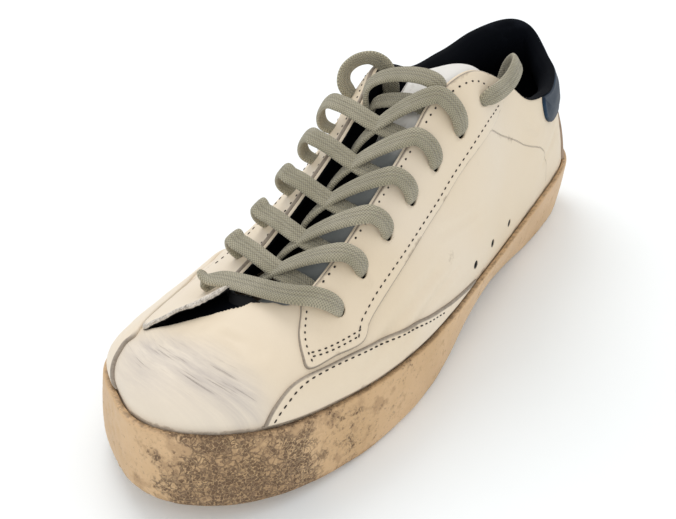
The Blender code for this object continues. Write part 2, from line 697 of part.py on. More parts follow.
def ribbon_rings(path, ups):
    """Flat six-sided sections of a lace along a path, ups being the direction of its thickness."""
    rings = []
    for i, point in enumerate(path):
        along = path[min(i + 1, len(path) - 1)] - path[max(i - 1, 0)]
        wide = np.cross(ups[i], along)
        wide /= np.linalg.norm(wide)
        thick = np.cross(along, wide)
        thick /= np.linalg.norm(thick)
        a, b = LACE_WIDE / 2, LACE_THICK / 2
        corners = [(-a, 0), (-a + 1, -b), (a - 1, -b), (a, 0), (a - 1, b), (-a + 1, b)]
        rings.append(np.array([point + wide * u + thick * v for u, v in corners]))
    return rings


def lace_path(stations, from_turn, to_turn, to_lateral):
    """(points, upward directions) of a run of lace over the throat."""
    path = []
    ups = []
    for station in stations:
        across = station.across if to_lateral else 1 - station.across
        turn = from_turn + (to_turn - from_turn) * station.part
        path.append(over_throat(turn, across, station.height))
        ups.append(over_throat(turn, across, station.height + 1) - path[-1])
    return path, ups


def make_lace(name, runs, material):
    """One crossing: its runs of lace joined into one solid."""
    pieces = []
    for i, run in enumerate(runs):
        pieces.append(loft(name if i == 0 else f"{name}_{i}", ribbon_rings(*lace_path(*run)), material))
    for other in pieces[1:]:
        join = pieces[0].modifiers.new("join", "BOOLEAN")
        join.operation = "UNION"
        join.object = hidden(other)
    return pieces[0]


def make_lace_end(name, route, material):
    """Round tube along the route of a free end of the lace, which stays plain here."""
    points = smooth_rows(route, RoutePoint._fields, 6).T
    lengths = np.concatenate([[0], np.cumsum(np.linalg.norm(np.diff(points, axis=0), axis=1))])
    steps = np.linspace(0, lengths[-1], round(lengths[-1] / CORD_STEP) + 1)
    curve = bpy.data.curves.new(name, "CURVE")
    curve.dimensions = "3D"
    curve.bevel_depth = CORD_THICK / 2 * MM
    curve.bevel_resolution = 2
    curve.use_fill_caps = True
    curve.materials.append(material)
    spline = curve.splines.new("POLY")
    spline.points.add(len(steps) - 1)
    for i, length in enumerate(steps):
        place = [np.interp(length, lengths, points[:, axis]) - CENTRE[axis] for axis in range(3)]
        spline.points[i].co = (*(value * MM for value in place), 1)
    obj = bpy.data.objects.new(name, curve)
    bpy.context.scene.collection.objects.link(obj)


def main():
    for obj in list(bpy.data.objects):
        bpy.data.objects.remove(obj)
    leather = add_material("white_leather", (0.78, 0.73, 0.64), 0.45)
    rubber = add_material("tan_rubber", (0.55, 0.42, 0.28), 0.6)
    lining = add_material("brown_lining", (0.22, 0.15, 0.09), 0.7)
    suede = add_material("taupe_counter", (0.42, 0.33, 0.26), 0.7)
    navy = add_material("navy_tab", (0.012, 0.018, 0.028), 0.6)
    woven = add_material("olive_lace", (0.30, 0.28, 0.21), 0.85)
    make_sole(rubber)
    make_upper(leather)
    make_insole(lining)
    make_tongue(leather)
    make_overlay("eyestay_medial", EYESTAY_MEDIAL, 1, leather)
    make_overlay("eyestay_lateral", EYESTAY_LATERAL, -1, leather, lift=torn_lift)
    make_overlay("foxing_medial", FOXING_MEDIAL, 1, leather)
    make_overlay("foxing_lateral", FOXING_LATERAL, -1, leather)
    make_overlay("heel_counter", COUNTER, 1, suede, both_sides=True)
    make_overlay("heel_tab", TAB, 1, navy, faces_at=TAB_FACES, both_sides=True)
    turns = [turn for turn, _ in EYELETS]
    make_lace("lace_bar_1", [(FIRST_BAR, turns[0], turns[0] + 10.0, False)], woven)
    for row in range(1, len(turns)):
        over, under = (TO_MEDIAL, TO_LATERAL) if row < len(turns) - 1 else (TOP_ARC, TOP_FLAT)
        runs = [(over, turns[row - 1], turns[row], False), (under, turns[row - 1], turns[row], True)]
        make_lace(f"lace_cross_{row + 1}", runs, woven)
    make_lace_end("lace_end_medial", LACE_END_MEDIAL, woven)
    make_lace_end("lace_end_lateral", LACE_END_LATERAL, woven)


main()
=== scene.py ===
"""Looks of a worn low sneaker for the right foot: creased leather, stitching, woven lace and a cracked cup sole.

Sizes are in millimetres in the shoe's own frame, with x from the back of the heel, y towards the inner side and
z up from the floor, as the model was made. place() turns them into the frame's metres.
"""

import math
from collections import namedtuple

import bmesh
import bpy
import numpy as np
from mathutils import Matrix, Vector


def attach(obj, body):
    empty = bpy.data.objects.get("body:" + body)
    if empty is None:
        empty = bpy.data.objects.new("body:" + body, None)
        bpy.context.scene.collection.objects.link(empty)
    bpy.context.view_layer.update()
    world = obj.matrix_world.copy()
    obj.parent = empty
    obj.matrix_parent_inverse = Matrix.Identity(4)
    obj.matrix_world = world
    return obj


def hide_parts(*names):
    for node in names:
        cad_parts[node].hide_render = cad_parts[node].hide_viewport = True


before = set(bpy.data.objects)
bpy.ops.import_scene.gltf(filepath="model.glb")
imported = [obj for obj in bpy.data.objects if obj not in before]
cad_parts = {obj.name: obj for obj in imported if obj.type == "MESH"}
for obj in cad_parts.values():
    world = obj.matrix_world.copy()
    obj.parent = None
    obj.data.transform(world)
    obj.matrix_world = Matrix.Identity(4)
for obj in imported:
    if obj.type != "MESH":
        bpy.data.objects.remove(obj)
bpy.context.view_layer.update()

MM = 0.001
CENTRE = np.array([151.1, -1.3, 0.0])  # the frame's origin in the shoe's own millimetres

# ---------------------------------------------------------------- sizes shared with the model
LENGTH = 300.0
WALL = 2.0
GAP = 0.35
LIP = 2.6
CUP_DEPTH = 14.0
EDGE_ROUND = 2.6
LACE_WIDE = 7.2
LACE_THICK = 2.3


def table_of(kind, *rows):
    return [kind(*row) for row in rows]


SoleRow = namedtuple("SoleRow", "x medial lateral medial_tuck lateral_tuck top medial_lift lateral_lift")
SOLE = table_of(
    SoleRow,
    (0.0, 0.0, 0.0, 2.0, 2.0, 31.5, 2.6, 2.6), (3.5, 12.0, 17.0, 2.2, 2.2, 31.2, 1.6, 1.6),
    (12.0, 21.0, 28.0, 2.6, 2.6, 30.6, 0.4, 0.4), (27.0, 28.2, 34.5, 3.2, 3.0, 30.0, -0.5, -0.5),
    (48.0, 32.4, 37.4, 4.2, 3.0, 29.6, -0.6, -0.8), (75.0, 36.0, 38.8, 6.0, 3.4, 29.2, 0.6, -0.2),
    (102.0, 39.4, 40.4, 7.6, 3.8, 28.8, 3.6, 1.4), (129.0, 42.6, 43.2, 8.0, 3.4, 28.2, 5.4, 2.2),
    (156.0, 45.4, 46.6, 6.2, 2.6, 27.6, 3.6, 1.4), (180.0, 48.0, 49.8, 3.6, 2.0, 27.2, 0.9, 0.1),
    (204.0, 49.2, 51.6, 1.6, 1.0, 27.2, -0.6, -0.8), (228.0, 47.5, 50.4, 0.2, 0.0, 27.4, -0.3, -0.3),
    (252.0, 42.7, 46.4, -1.4, -2.4, 28.8, 1.6, 1.6), (270.0, 37.2, 40.2, -2.2, -3.4, 30.8, 4.0, 4.0),
    (285.0, 28.6, 30.6, -2.6, -3.4, 33.4, 6.4, 6.4), (296.0, 16.0, 12.5, -2.6, -2.8, 35.4, 8.2, 8.2),
    (300.0, 2.0, -2.0, -2.4, -2.4, 36.0, 8.8, 8.8),
)

UpperRow = namedtuple("UpperRow", "place turn rim_x rim_y rim_z out low_pull lean high_pull")
MEDIAL = table_of(
    UpperRow,
    ("heel_back", 0, 23.5, -4.0, 95.5, 0, 20, 30, 19), ("heel_corner", 24, 30.0, 9.0, 85.5, -4, 17, 22, 14),
    ("heel_side", 44, 43.5, 20.0, 81.0, -3, 15, 12, 12), ("collar_low", 62, 69.0, 27.5, 79.5, 5, 16, 10, 14),
    ("collar_front", 74, 98.0, 30.0, 86.0, 5, 16, 12, 16),
    ("facing_back", 81, 118.0, 28.5, 98.5, 4, 18, 16, 22),
    ("facing_top", 88, 140.0, 23.0, 107.5, 4, 18, 38, 22),
    ("facing_front", 94, 157.0, 18.5, 101.0, 3, 18, 46, 20),
    ("lace_upper", 101, 175.0, 18.5, 88.0, 3, 18, 46, 16),
    ("lace_middle", 110, 198.0, 19.5, 75.0, 3, 16, 48, 14),
    ("lace_lower", 120, 221.0, 20.5, 63.5, 3, 14, 54, 12),
    ("throat_corner", 131, 240.0, 19.5, 55.5, 4, 12, 62, 12),
    ("throat_side", 146, 245.5, 11.5, 54.0, 5, 12, 72, 18),
    ("toe_centre", 180, 246.5, 2.0, 53.5, 6, 13, 80, 28),
)
LATERAL = table_of(
    UpperRow,
    ("heel_back", 0, 23.5, -4.0, 95.5, 0, 20, 30, 19), ("heel_corner", 24, 30.0, -15.0, 98.0, 4, 22, 24, 19),
    ("heel_side", 44, 46.5, -24.5, 93.8, 6, 20, 16, 18), ("collar_low", 62, 69.0, -29.5, 88.0, 5, 18, 12, 16),
    ("collar_front", 74, 97.0, -30.0, 88.0, 5, 18, 14, 18),
    ("facing_back", 81, 118.0, -27.0, 95.5, 4, 18, 18, 20),
    ("facing_top", 88, 140.0, -20.0, 100.5, 4, 18, 40, 22),
    ("facing_front", 94, 157.0, -13.5, 95.0, 3, 18, 46, 20),
    ("lace_upper", 101, 175.0, -11.5, 84.0, 3, 18, 44, 16),
    ("lace_middle", 110, 198.0, -11.5, 70.0, 3, 16, 40, 13),
    ("lace_lower", 120, 221.0, -12.0, 57.5, 3, 14, 38, 11),
    ("throat_corner", 131, 240.0, -12.0, 50.8, 4, 12, 42, 11),
    ("throat_side", 146, 245.5, -7.0, 51.8, 5, 12, 60, 17),
    ("toe_centre", 180, 246.5, 2.0, 53.5, 6, 13, 80, 28),
)

BandRow = namedtuple("BandRow", "low_turn low_level high_turn high_level")
EYESTAY_MEDIAL = table_of(
    BandRow,
    (80.6, 1.00, 81.6, 1.0), (82.5, 0.84, 86.0, 1.0), (87.5, 0.68, 90.0, 1.0), (96.0, 0.60, 98.0, 1.0),
    (105.0, 0.57, 107.0, 1.0), (114.0, 0.53, 115.0, 1.0), (120.5, 0.47, 120.0, 1.0), (124.0, 0.38, 123.0, 1.0),
    (130.0, 0.42, 125.0, 1.0), (136.0, 0.43, 127.0, 1.0), (136.8, 0.56, 128.0, 1.0), (136.0, 0.74, 129.0, 1.0),
    (132.5, 0.92, 130.0, 1.0), (131.0, 1.00, 130.5, 1.0),
)
EYESTAY_LATERAL = table_of(
    BandRow,
    (80.6, 1.00, 81.6, 1.0), (82.5, 0.84, 86.0, 1.0), (87.5, 0.68, 90.0, 1.0), (96.0, 0.60, 98.0, 1.0),
    (105.0, 0.57, 107.0, 1.0), (114.0, 0.53, 115.0, 1.0), (121.0, 0.47, 123.0, 1.0), (130.0, 0.43, 131.0, 1.0),
    (142.0, 0.44, 138.0, 1.0), (153.0, 0.45, 144.0, 1.0), (156.6, 0.57, 148.0, 1.0), (160.0, 0.72, 151.0, 1.0),
    (163.0, 0.85, 154.0, 1.0), (162.0, 0.95, 156.0, 1.0), (158.0, 0.99, 157.0, 1.0),
)
FOXING_MEDIAL = table_of(
    BandRow,
    (92.0, 0.02, 92.5, 0.03), (98.0, 0.02, 98.0, 0.07), (104.0, 0.02, 104.0, 0.12), (112.0, 0.02, 112.0, 0.21),
    (119.0, 0.02, 119.0, 0.29), (125.0, 0.02, 125.0, 0.35), (131.0, 0.02, 131.0, 0.385),
    (137.0, 0.02, 137.0, 0.39), (141.5, 0.02, 141.5, 0.33), (145.5, 0.02, 145.0, 0.19),
    (147.5, 0.02, 147.0, 0.03),
)
FOXING_LATERAL = table_of(
    BandRow,
    (92.0, 0.02, 92.5, 0.03), (98.0, 0.02, 98.0, 0.07), (104.0, 0.02, 104.0, 0.12), (112.0, 0.02, 112.0, 0.21),
    (120.0, 0.02, 120.0, 0.30), (128.0, 0.02, 128.0, 0.38), (140.0, 0.02, 140.0, 0.41),
    (152.0, 0.02, 152.0, 0.42), (157.5, 0.02, 157.0, 0.33), (161.5, 0.02, 160.5, 0.18),
    (164.5, 0.02, 164.0, 0.03),
)
COUNTER = table_of(
    BandRow,
    (0.0, 0.02, 0.0, 0.56), (8.0, 0.02, 8.0, 0.56), (16.5, 0.02, 16.5, 0.56), (21.0, 0.02, 20.5, 0.45),
    (26.0, 0.02, 25.5, 0.32), (30.5, 0.02, 30.0, 0.15), (34.0, 0.02, 33.5, 0.03),
)
TAB = table_of(
    BandRow,
    (0.0, 0.555, 0.0, 1.0), (12.0, 0.555, 12.0, 1.0), (24.0, 0.56, 24.0, 1.0), (36.0, 0.57, 36.0, 1.0),
    (47.0, 0.595, 47.0, 1.0), (55.0, 0.65, 54.0, 1.0), (61.0, 0.76, 59.0, 1.0), (64.0, 0.90, 62.5, 1.0),
    (65.0, 1.00, 64.8, 1.0),
)

TongueRow = namedtuple("TongueRow", "turn edge_level forward up sink far")
TONGUE = table_of(
    TongueRow,
    (150.0, 0.90, 9.0, -2.6, 0.0, 0.92), (146.0, 0.88, 2.0, -2.0, 1.0, 0.86),
    (136.0, 0.80, 0.0, -2.8, 3.0, 0.74), (127.0, 0.72, 0.0, -3.2, 4.0, 0.66),
    (118.0, 0.68, 0.0, -3.2, 4.0, 0.62), (109.0, 0.66, 0.0, -3.2, 4.0, 0.60),
    (101.0, 0.66, 0.0, -3.2, 4.0, 0.61), (94.0, 0.68, 0.0, -3.0, 3.5, 0.64),
    (90.5, 0.72, -9.0, -1.2, 3.0, 0.70), (90.5, 0.76, -21.0, -1.6, 2.5, 0.78),
    (90.5, 0.84, -29.5, -5.6, 2.0, 0.84),
)
TONGUE_THICK = 3.0
# Places along the shoe between which the tongue turns from its white tone to a dark teal grey, towards the toe.
TOE_DARK_FROM = (160.0, 178.0)

EYELETS = [(125.2, 0.69), (118.0, 0.755), (111.0, 0.768), (104.6, 0.765), (98.4, 0.758), (92.5, 0.765), (87.2, 0.84)]
EYELET_RADIUS = 2.3
LATERAL_SLIDE = 3.2  # how far the loose outer facing has slid towards the toe, in degrees of turn
LACE_CROWN = 0.12
LATERAL_EYELETS = [(131.4, 0.80)] + [(turn + LATERAL_SLIDE, level) for turn, level in EYELETS[1:]]
GROOVE_WIDE = 3.2
GROOVE_DEEP = 1.8
GROOVE_MARGIN = 9.0
GROOVES = [18.0, 29.0, 40.0, 51.0, 62.0] + [168.0 + 11.0 * i for i in range(10)]

RoutePoint = namedtuple("RoutePoint", "x y z")
LACE_END_MEDIAL = table_of(
    RoutePoint,
    (139.6, 28.4, 95.4), (139.0, 30.9, 98.0), (136.2, 32.8, 99.4), (132.2, 33.7, 100.4), (127.6, 34.0, 101.6),
    (122.8, 33.7, 102.9), (117.9, 32.7, 104.2), (113.0, 31.0, 105.2), (108.4, 28.2, 104.8),
    (105.2, 24.8, 101.8), (103.2, 22.4, 97.2), (102.2, 21.0, 91.8), (101.6, 20.2, 86.2),
)
LACE_END_LATERAL = table_of(
    RoutePoint,
    (147.4, -22.7, 89.2), (149.2, -26.2, 91.9), (149.6, -28.8, 96.0), (147.6, -29.0, 100.6),
    (144.2, -26.2, 104.0), (141.0, -21.6, 105.2), (138.4, -17.8, 103.2), (136.6, -15.8, 99.2),
    (135.4, -15.0, 94.6), (134.6, -14.8, 90.0), (134.0, -14.8, 85.4),
)


def place(points):
    """Points in the shoe's millimetres as metres in the frame."""
    return (np.asarray(points, float) - CENTRE) * MM


# ---------------------------------------------------------------- smooth tables, as in the model
def unit(vectors):
    return vectors / np.linalg.norm(vectors, axis=-1, keepdims=True)


def hermite(t, start, start_slope, end, end_slope):
    """Cubic between two values with their slopes, t from 0 to 1."""
    near = (1 + 2 * t) * (1 - t) ** 2 * start + t * (1 - t) ** 2 * start_slope
    return near + t * t * (3 - 2 * t) * end + t * t * (t - 1) * end_slope


def bezier(t, start, near, far, end):
    return start * (1 - t) ** 3 + near * 3 * t * (1 - t) ** 2 + far * 3 * t * t * (1 - t) + end * t**3


def closed_curve(turns, values, at):
    """Cubic curve through values at the rising turns (radians), closed after a full turn, read at the turns at."""
    turns = np.asarray(turns, float)
    values = np.asarray(values, float)
    around = 2 * math.pi
    knots = np.concatenate([[turns[-1] - around], turns, [turns[0] + around, turns[1] + around]])
    heights = np.concatenate([[values[-1]], values, [values[0], values[1]]])
    steps = np.diff(knots)
    rises = np.diff(heights) / steps
    slopes = (rises[:-1] * steps[1:] + rises[1:] * steps[:-1]) / (steps[:-1] + steps[1:])
    at = np.mod(np.asarray(at, float) - turns[0], around) + turns[0]
    i = np.clip(np.searchsorted(knots, at, side="right") - 1, 1, len(turns))
    t = (at - knots[i]) / steps[i]
    return hermite(t, heights[i], steps[i] * slopes[i - 1], heights[i + 1], steps[i] * slopes[i])


def sole_value(at, medial_of, lateral_of):
    turns = [math.acos(1 - 2 * row.x / LENGTH) for row in SOLE]
    values = [medial_of(row) for row in SOLE]
    turns += [2 * math.pi - turn for turn in turns[-2:0:-1]]
    values += [lateral_of(row) for row in SOLE[-2:0:-1]]
    return closed_curve(turns, values, at)


def top_edge(at):
    """(points, outward normals) of the top edge of the side wall, seen from above."""

    def edge(turn):
        x = LENGTH / 2 * (1 - np.cos(turn))
        y = sole_value(turn, lambda row: row.medial, lambda row: -row.lateral)
        return np.stack([x, y], -1)

    at = np.asarray(at, float)
    along = unit(edge(at + 0.01) - edge(at - 0.01))
    return edge(at), np.stack([-along[..., 1], along[..., 0]], -1)


def edge_top(at):
    return sole_value(at, lambda row: row.top, lambda row: row.top)


def edge_lift(at):
    return np.maximum(sole_value(at, lambda row: row.medial_lift, lambda row: row.lateral_lift), 0.0)


def edge_tuck(at):
    return sole_value(at, lambda row: row.medial_tuck, lambda row: row.lateral_tuck)


def side_wall(at, height, inset):
    """Points at a share of the side wall's height, moved inwards by inset."""
    edge, outward = top_edge(at)
    z = edge_lift(at) + (edge_top(at) - edge_lift(at)) * height
    flat = edge - outward * (inset + edge_tuck(at) * (1 - height))[..., None]
    return np.concatenate([flat, z[..., None]], -1)


def cup_wall(at, drop, inset):
    """Points drop millimetres under the side wall's top edge, inset from its outside."""
    height = 1 - drop / (edge_top(at) - edge_lift(at))
    return side_wall(at, height, inset + np.zeros_like(height))


def upper_value(at, column):
    turns = [math.radians(row.turn) for row in MEDIAL]
    turns += [2 * math.pi - math.radians(row.turn) for row in LATERAL[-2:0:-1]]
    values = [getattr(row, column) for row in MEDIAL + LATERAL[-2:0:-1]]
    return closed_curve(turns, values, at)


def skin(at, level):
    """The upper's outer surface: at is the turn round the shoe, level runs from 0 at the sole to 1 at the rim."""
    at, level = np.broadcast_arrays(np.asarray(at, float), np.asarray(level, float))
    _, outward = top_edge(at)
    start = cup_wall(at, 0.0, LIP + GAP)
    rim = np.stack([upper_value(at, column) for column in ("rim_x", "rim_y", "rim_z")], -1)
    inward = unit(rim[..., :2] - start[..., :2])
    out = np.radians(upper_value(at, "out"))[..., None]
    lean = np.radians(upper_value(at, "lean"))[..., None]
    rise = np.concatenate([outward * np.sin(out), np.cos(out)], -1)
    fall = np.concatenate([inward * np.sin(lean), np.cos(lean)], -1)
    low = start + rise * upper_value(at, "low_pull")[..., None]
    high = rim - fall * upper_value(at, "high_pull")[..., None]
    return bezier(level[..., None], start, low, high, rim)


def skin_normal(at, level):
    """Unit normal of the upper's outer surface, pointing outwards."""
    level = np.asarray(level, float)
    low = np.clip(level - 0.01, 0, 1)
    high = np.clip(level + 0.01, 0, 1)
    along = skin(at + 0.01, level) - skin(at - 0.01, level)
    up = skin(at, high) - skin(at, low)
    return unit(np.cross(up, along))


def raised(at, level, height):
    """The upper's surface moved out along its normal by height, or in where height is negative."""
    at, level, height = np.broadcast_arrays(*(np.asarray(value, float) for value in (at, level, height)))
    return skin(at, level) + skin_normal(at, level) * height[..., None]


def smooth_rows(rows, count):
    """The columns of a table as smooth curves, count steps between neighbouring rows."""
    table = np.array(rows, float)
    slopes = np.gradient(table, axis=0)
    i = np.repeat(np.arange(len(rows) - 1), count)
    t = np.tile(np.arange(count) / count, len(rows) - 1)[:, None]
    return np.concatenate([hermite(t, table[i], slopes[i], table[i + 1], slopes[i + 1]), table[-1:]]).T


def rim_slope(at):
    """Unit direction in which the skin runs off the rim."""
    return unit(skin(at, 1.0) - skin(at, 0.97))


def bridge(turn, share, height, crown=0.34):
    """Points over the throat between the facings: share 0 at the medial rim, 1 at the lateral."""
    at, share, height = np.broadcast_arrays(np.radians(turn), share, height)
    start = raised(at, 1.0, height)
    end = raised(-at, 1.0, height)
    pull = np.linalg.norm(end - start, axis=-1, keepdims=True) * crown
    near = start + rim_slope(at) * pull
    far = end + rim_slope(-at) * pull
    return bezier(share[..., None], start, near, far, end)


def over_throat(turn, across, height):
    """Points above the facings and the throat: across runs from -1, an eyelet's row on the medial side, through
    0 and 1, the rims, to 2, an eyelet's row on the lateral side."""
    turn, across, height = np.broadcast_arrays(*(np.asarray(value, float) for value in (turn, across, height)))
    row = np.interp(turn, [pair[0] for pair in EYELETS[::-1]], [pair[1] for pair in EYELETS[::-1]])
    turn = turn + LATERAL_SLIDE * np.clip(across, 0, 1)
    at = np.radians(turn)
    medial = raised(at, 1 + (1 - row) * np.minimum(across, 0), height)
    lateral = raised(-at, 1 - (1 - row) * np.maximum(across - 1, 0), height)
    middle = bridge(turn, np.clip(across, 0, 1), height, LACE_CROWN)
    across = across[..., None]
    return np.where(across < 0, medial, np.where(across > 1, lateral, middle))


# ---------------------------------------------------------------- camera, floor and light
def make_stage():
    """Camera at the height of a kneeling look at the toe's inner side, a pale floor and soft studio light."""
    scene = bpy.context.scene
    scene.view_settings.view_transform = "Standard"
    lens = bpy.data.cameras.new("camera")
    lens.sensor_width = 36.0
    lens.lens = 41.5
    lens.clip_start = 0.01
    camera = bpy.data.objects.new("camera", lens)
    camera.location = (0.2531, 0.1574, 0.2014)
    camera.rotation_mode = "QUATERNION"
    camera.rotation_quaternion = Vector((-0.6869, -0.5069, -0.5209)).to_track_quat("-Z", "Y")
    scene.collection.objects.link(camera)
    scene.camera = camera

    world = bpy.data.worlds.new("studio")
    world.use_nodes = True
    world.node_tree.nodes["Background"].inputs["Color"].default_value = (1.0, 1.0, 1.0, 1)
    world.node_tree.nodes["Background"].inputs["Strength"].default_value = 0.85
    scene.world = world

    half = 4.0
    floor = bpy.data.meshes.new("floor")
    floor.from_pydata([(-half, -half, 0), (half, -half, 0), (half, half, 0), (-half, half, 0)], [], [(0, 1, 2, 3)])
    floor.materials.append(plain_material("floor_paper", (0.95, 0.985, 1.0), 0.8))
    ground = bpy.data.objects.new("floor", floor)
    scene.collection.objects.link(ground)

    for name, spot, size, watts, colour in (
        ("window", (-0.35, -0.75, 1.25), 0.9, 6.5, (1.0, 0.99, 0.98)),
        ("front", (1.1, 0.9, 0.8), 1.1, 3.2, (1.0, 0.99, 0.975)),
    ):
        lamp = bpy.data.lights.new(name, "AREA")
        lamp.shape = "DISK"
        lamp.size = size
        lamp.energy = watts
        lamp.color = colour
        holder = bpy.data.objects.new(name, lamp)
        holder.location = spot
        holder.rotation_mode = "QUATERNION"
        holder.rotation_quaternion = (-Vector(spot)).to_track_quat("-Z", "Y")
        scene.collection.objects.link(holder)


# ---------------------------------------------------------------- shader building
class Value:
    """A node's output, which adds to, takes from and multiplies with others and with numbers."""

    def __init__(self, nodes, socket):
        self.nodes = nodes
        self.socket = socket

    def __add__(self, other):
        return self.nodes.calc("ADD", self, other)

    def __mul__(self, other):
        return self.nodes.calc("MULTIPLY", self, other)

    def __rsub__(self, other):
        return self.nodes.calc("SUBTRACT", other, self)

    __radd__ = __add__
    __rmul__ = __mul__


class Nodes:
    """Builds the nodes of one tree. What goes into a socket is a Value, a number, a colour or a place."""

    def __init__(self, tree):
        self.tree = tree

    def put(self, socket, value):
        if isinstance(value, Value):
            self.tree.links.new(value.socket, socket)
        else:
            socket.default_value = (*value, 1) if socket.type == "RGBA" else value

    def add(self, kind, inputs, output=0, **settings):
        """A new node's output by number or name, or all of them where output is None."""
        made = self.tree.nodes.new("ShaderNode" + kind)
        for key, value in settings.items():
            setattr(made, key, value)
        for key, value in inputs.items():
            self.put(made.inputs[key], value)
        if output is None:
            return [Value(self, socket) for socket in made.outputs]
        return Value(self, made.outputs[output])

    def calc(self, operation, first, second=0.0):
        return self.add("Math", {0: first, 1: second}, operation=operation)

    def most(self, first, second):
        return self.calc("MAXIMUM", first, second)

    def mixed(self, share, first, second):
        """Colour between first and second."""
        return self.add("Mix", {0: share, 6: first, 7: second}, 2, data_type="RGBA")

    def step(self, value, low, high):
        """Soft step from 0 at low to 1 at high."""
        inputs = {"Value": value, "From Min": low, "From Max": high}
        return self.add("MapRange", inputs, interpolation_type="SMOOTHSTEP")

    def noise(self, spot, scale, detail=4.0, rough=0.55):
        return self.add("TexNoise", {"Vector": spot, "Scale": scale, "Detail": detail, "Roughness": rough})

    def wavy(self, spot, scale, detail, by):
        """A spot moved by noise, at most by metres, so that lines drawn there aren't straight."""
        shift = self.add("TexNoise", {"Vector": spot, "Scale": scale, "Detail": detail}, "Color")
        shift = self.add("VectorMath", {0: shift, "Scale": by}, operation="SCALE")
        return self.add("VectorMath", {0: spot, 1: shift}, operation="ADD")

    def cell_border(self, spot, scale):
        return self.add("TexVoronoi", {"Vector": spot, "Scale": scale}, "Distance", feature="DISTANCE_TO_EDGE")

    def bump(self, height, depth, strength, under=None):
        """Bump of that depth in metres, on top of another bump where one is given."""
        inputs = {"Height": height, "Distance": depth, "Strength": strength}
        return self.add("Bump", inputs if under is None else {**inputs, "Normal": under})


def grain(nodes, spot, scale):
    """Pores and fine unevenness of leather."""
    pores = nodes.add("TexVoronoi", {"Vector": spot, "Scale": scale}, "Distance")
    return pores * 0.6 + nodes.noise(spot, scale * 0.35, 3.0)


def grime(nodes, spot, scale, amount):
    """Cloudy dirt that spreads as the amount grows."""
    start = (1.0 - amount) * 0.62
    mask = nodes.step(nodes.noise(spot, scale, 6.0, 0.65), start, start + 0.16)
    return mask * nodes.step(amount, 0.0, 0.12)


def fine_cracks(nodes, spot, scale, width, amount):
    """Thin cracks in patches."""
    border = nodes.cell_border(nodes.wavy(spot, scale * 0.7, 2.0, 0.006), scale)
    kept = nodes.step(nodes.noise(spot, scale * 0.3, 3.0) + amount, 0.95, 1.15)
    return (1.0 - nodes.step(border, 0.0, width)) * kept


def crazing(nodes, spot, scale, amount):
    """Dark flakes of uneven depth parted by a fine pale network, closing up in patches as the amount grows."""
    moved = nodes.wavy(spot, scale, 3.0, 0.0018)
    flake = nodes.add("TexVoronoi", {"Vector": moved, "Scale": scale}, "Color")
    depth = nodes.add("SeparateColor", {0: flake})
    kept = nodes.step(nodes.noise(spot, scale * 0.13, 6.0, 0.7) * 2.0 + amount, 1.20, 2.02)
    deep = nodes.step(depth * 0.5 + kept, 0.40, 1.15)
    return nodes.step(nodes.cell_border(moved, scale), 0.02, 0.20) * deep


def weave(nodes, along, across, density):
    """Fine slanting rows of a flat woven lace, from millimetres along and across it."""
    slant = across * 0.9
    up = nodes.calc("SINE", (along + slant) * density)
    down = nodes.calc("SINE", nodes.calc("SUBTRACT", along, slant) * density)
    return (up + down) * 0.5


def make_group(effect, output, **inputs):
    """An effect as a node group with one output. An input is a place where its value is None."""
    tree = bpy.data.node_groups.new(effect.__name__, "ShaderNodeTree")
    for label, value in inputs.items():
        kind = "NodeSocketVector" if value is None else "NodeSocketFloat"
        socket = tree.interface.new_socket(label, in_out="INPUT", socket_type=kind)
        if value is not None:
            socket.default_value = value
    tree.interface.new_socket(output, in_out="OUTPUT", socket_type="NodeSocketFloat")
    nodes = Nodes(tree)
    source = tree.nodes.new("NodeGroupInput").outputs
    sink = tree.nodes.new("NodeGroupOutput").inputs
    nodes.put(sink[output], effect(nodes, *(Value(nodes, source[label]) for label in inputs)))
    return tree


GROUPS = {}


def make_groups():
    GROUPS["grain"] = make_group(grain, "Height", Place=None, Scale=900.0)
    GROUPS["grime"] = make_group(grime, "Mask", Place=None, Scale=60.0, Amount=0.2)
    GROUPS["cracks"] = make_group(fine_cracks, "Mask", Place=None, Scale=300.0, Width=0.08, Amount=0.5)
    GROUPS["crazing"] = make_group(crazing, "Mask", Place=None, Scale=600.0, Amount=0.5)
    GROUPS["weave"] = make_group(weave, "Height", Along=0.0, Across=0.0, Density=7.0)


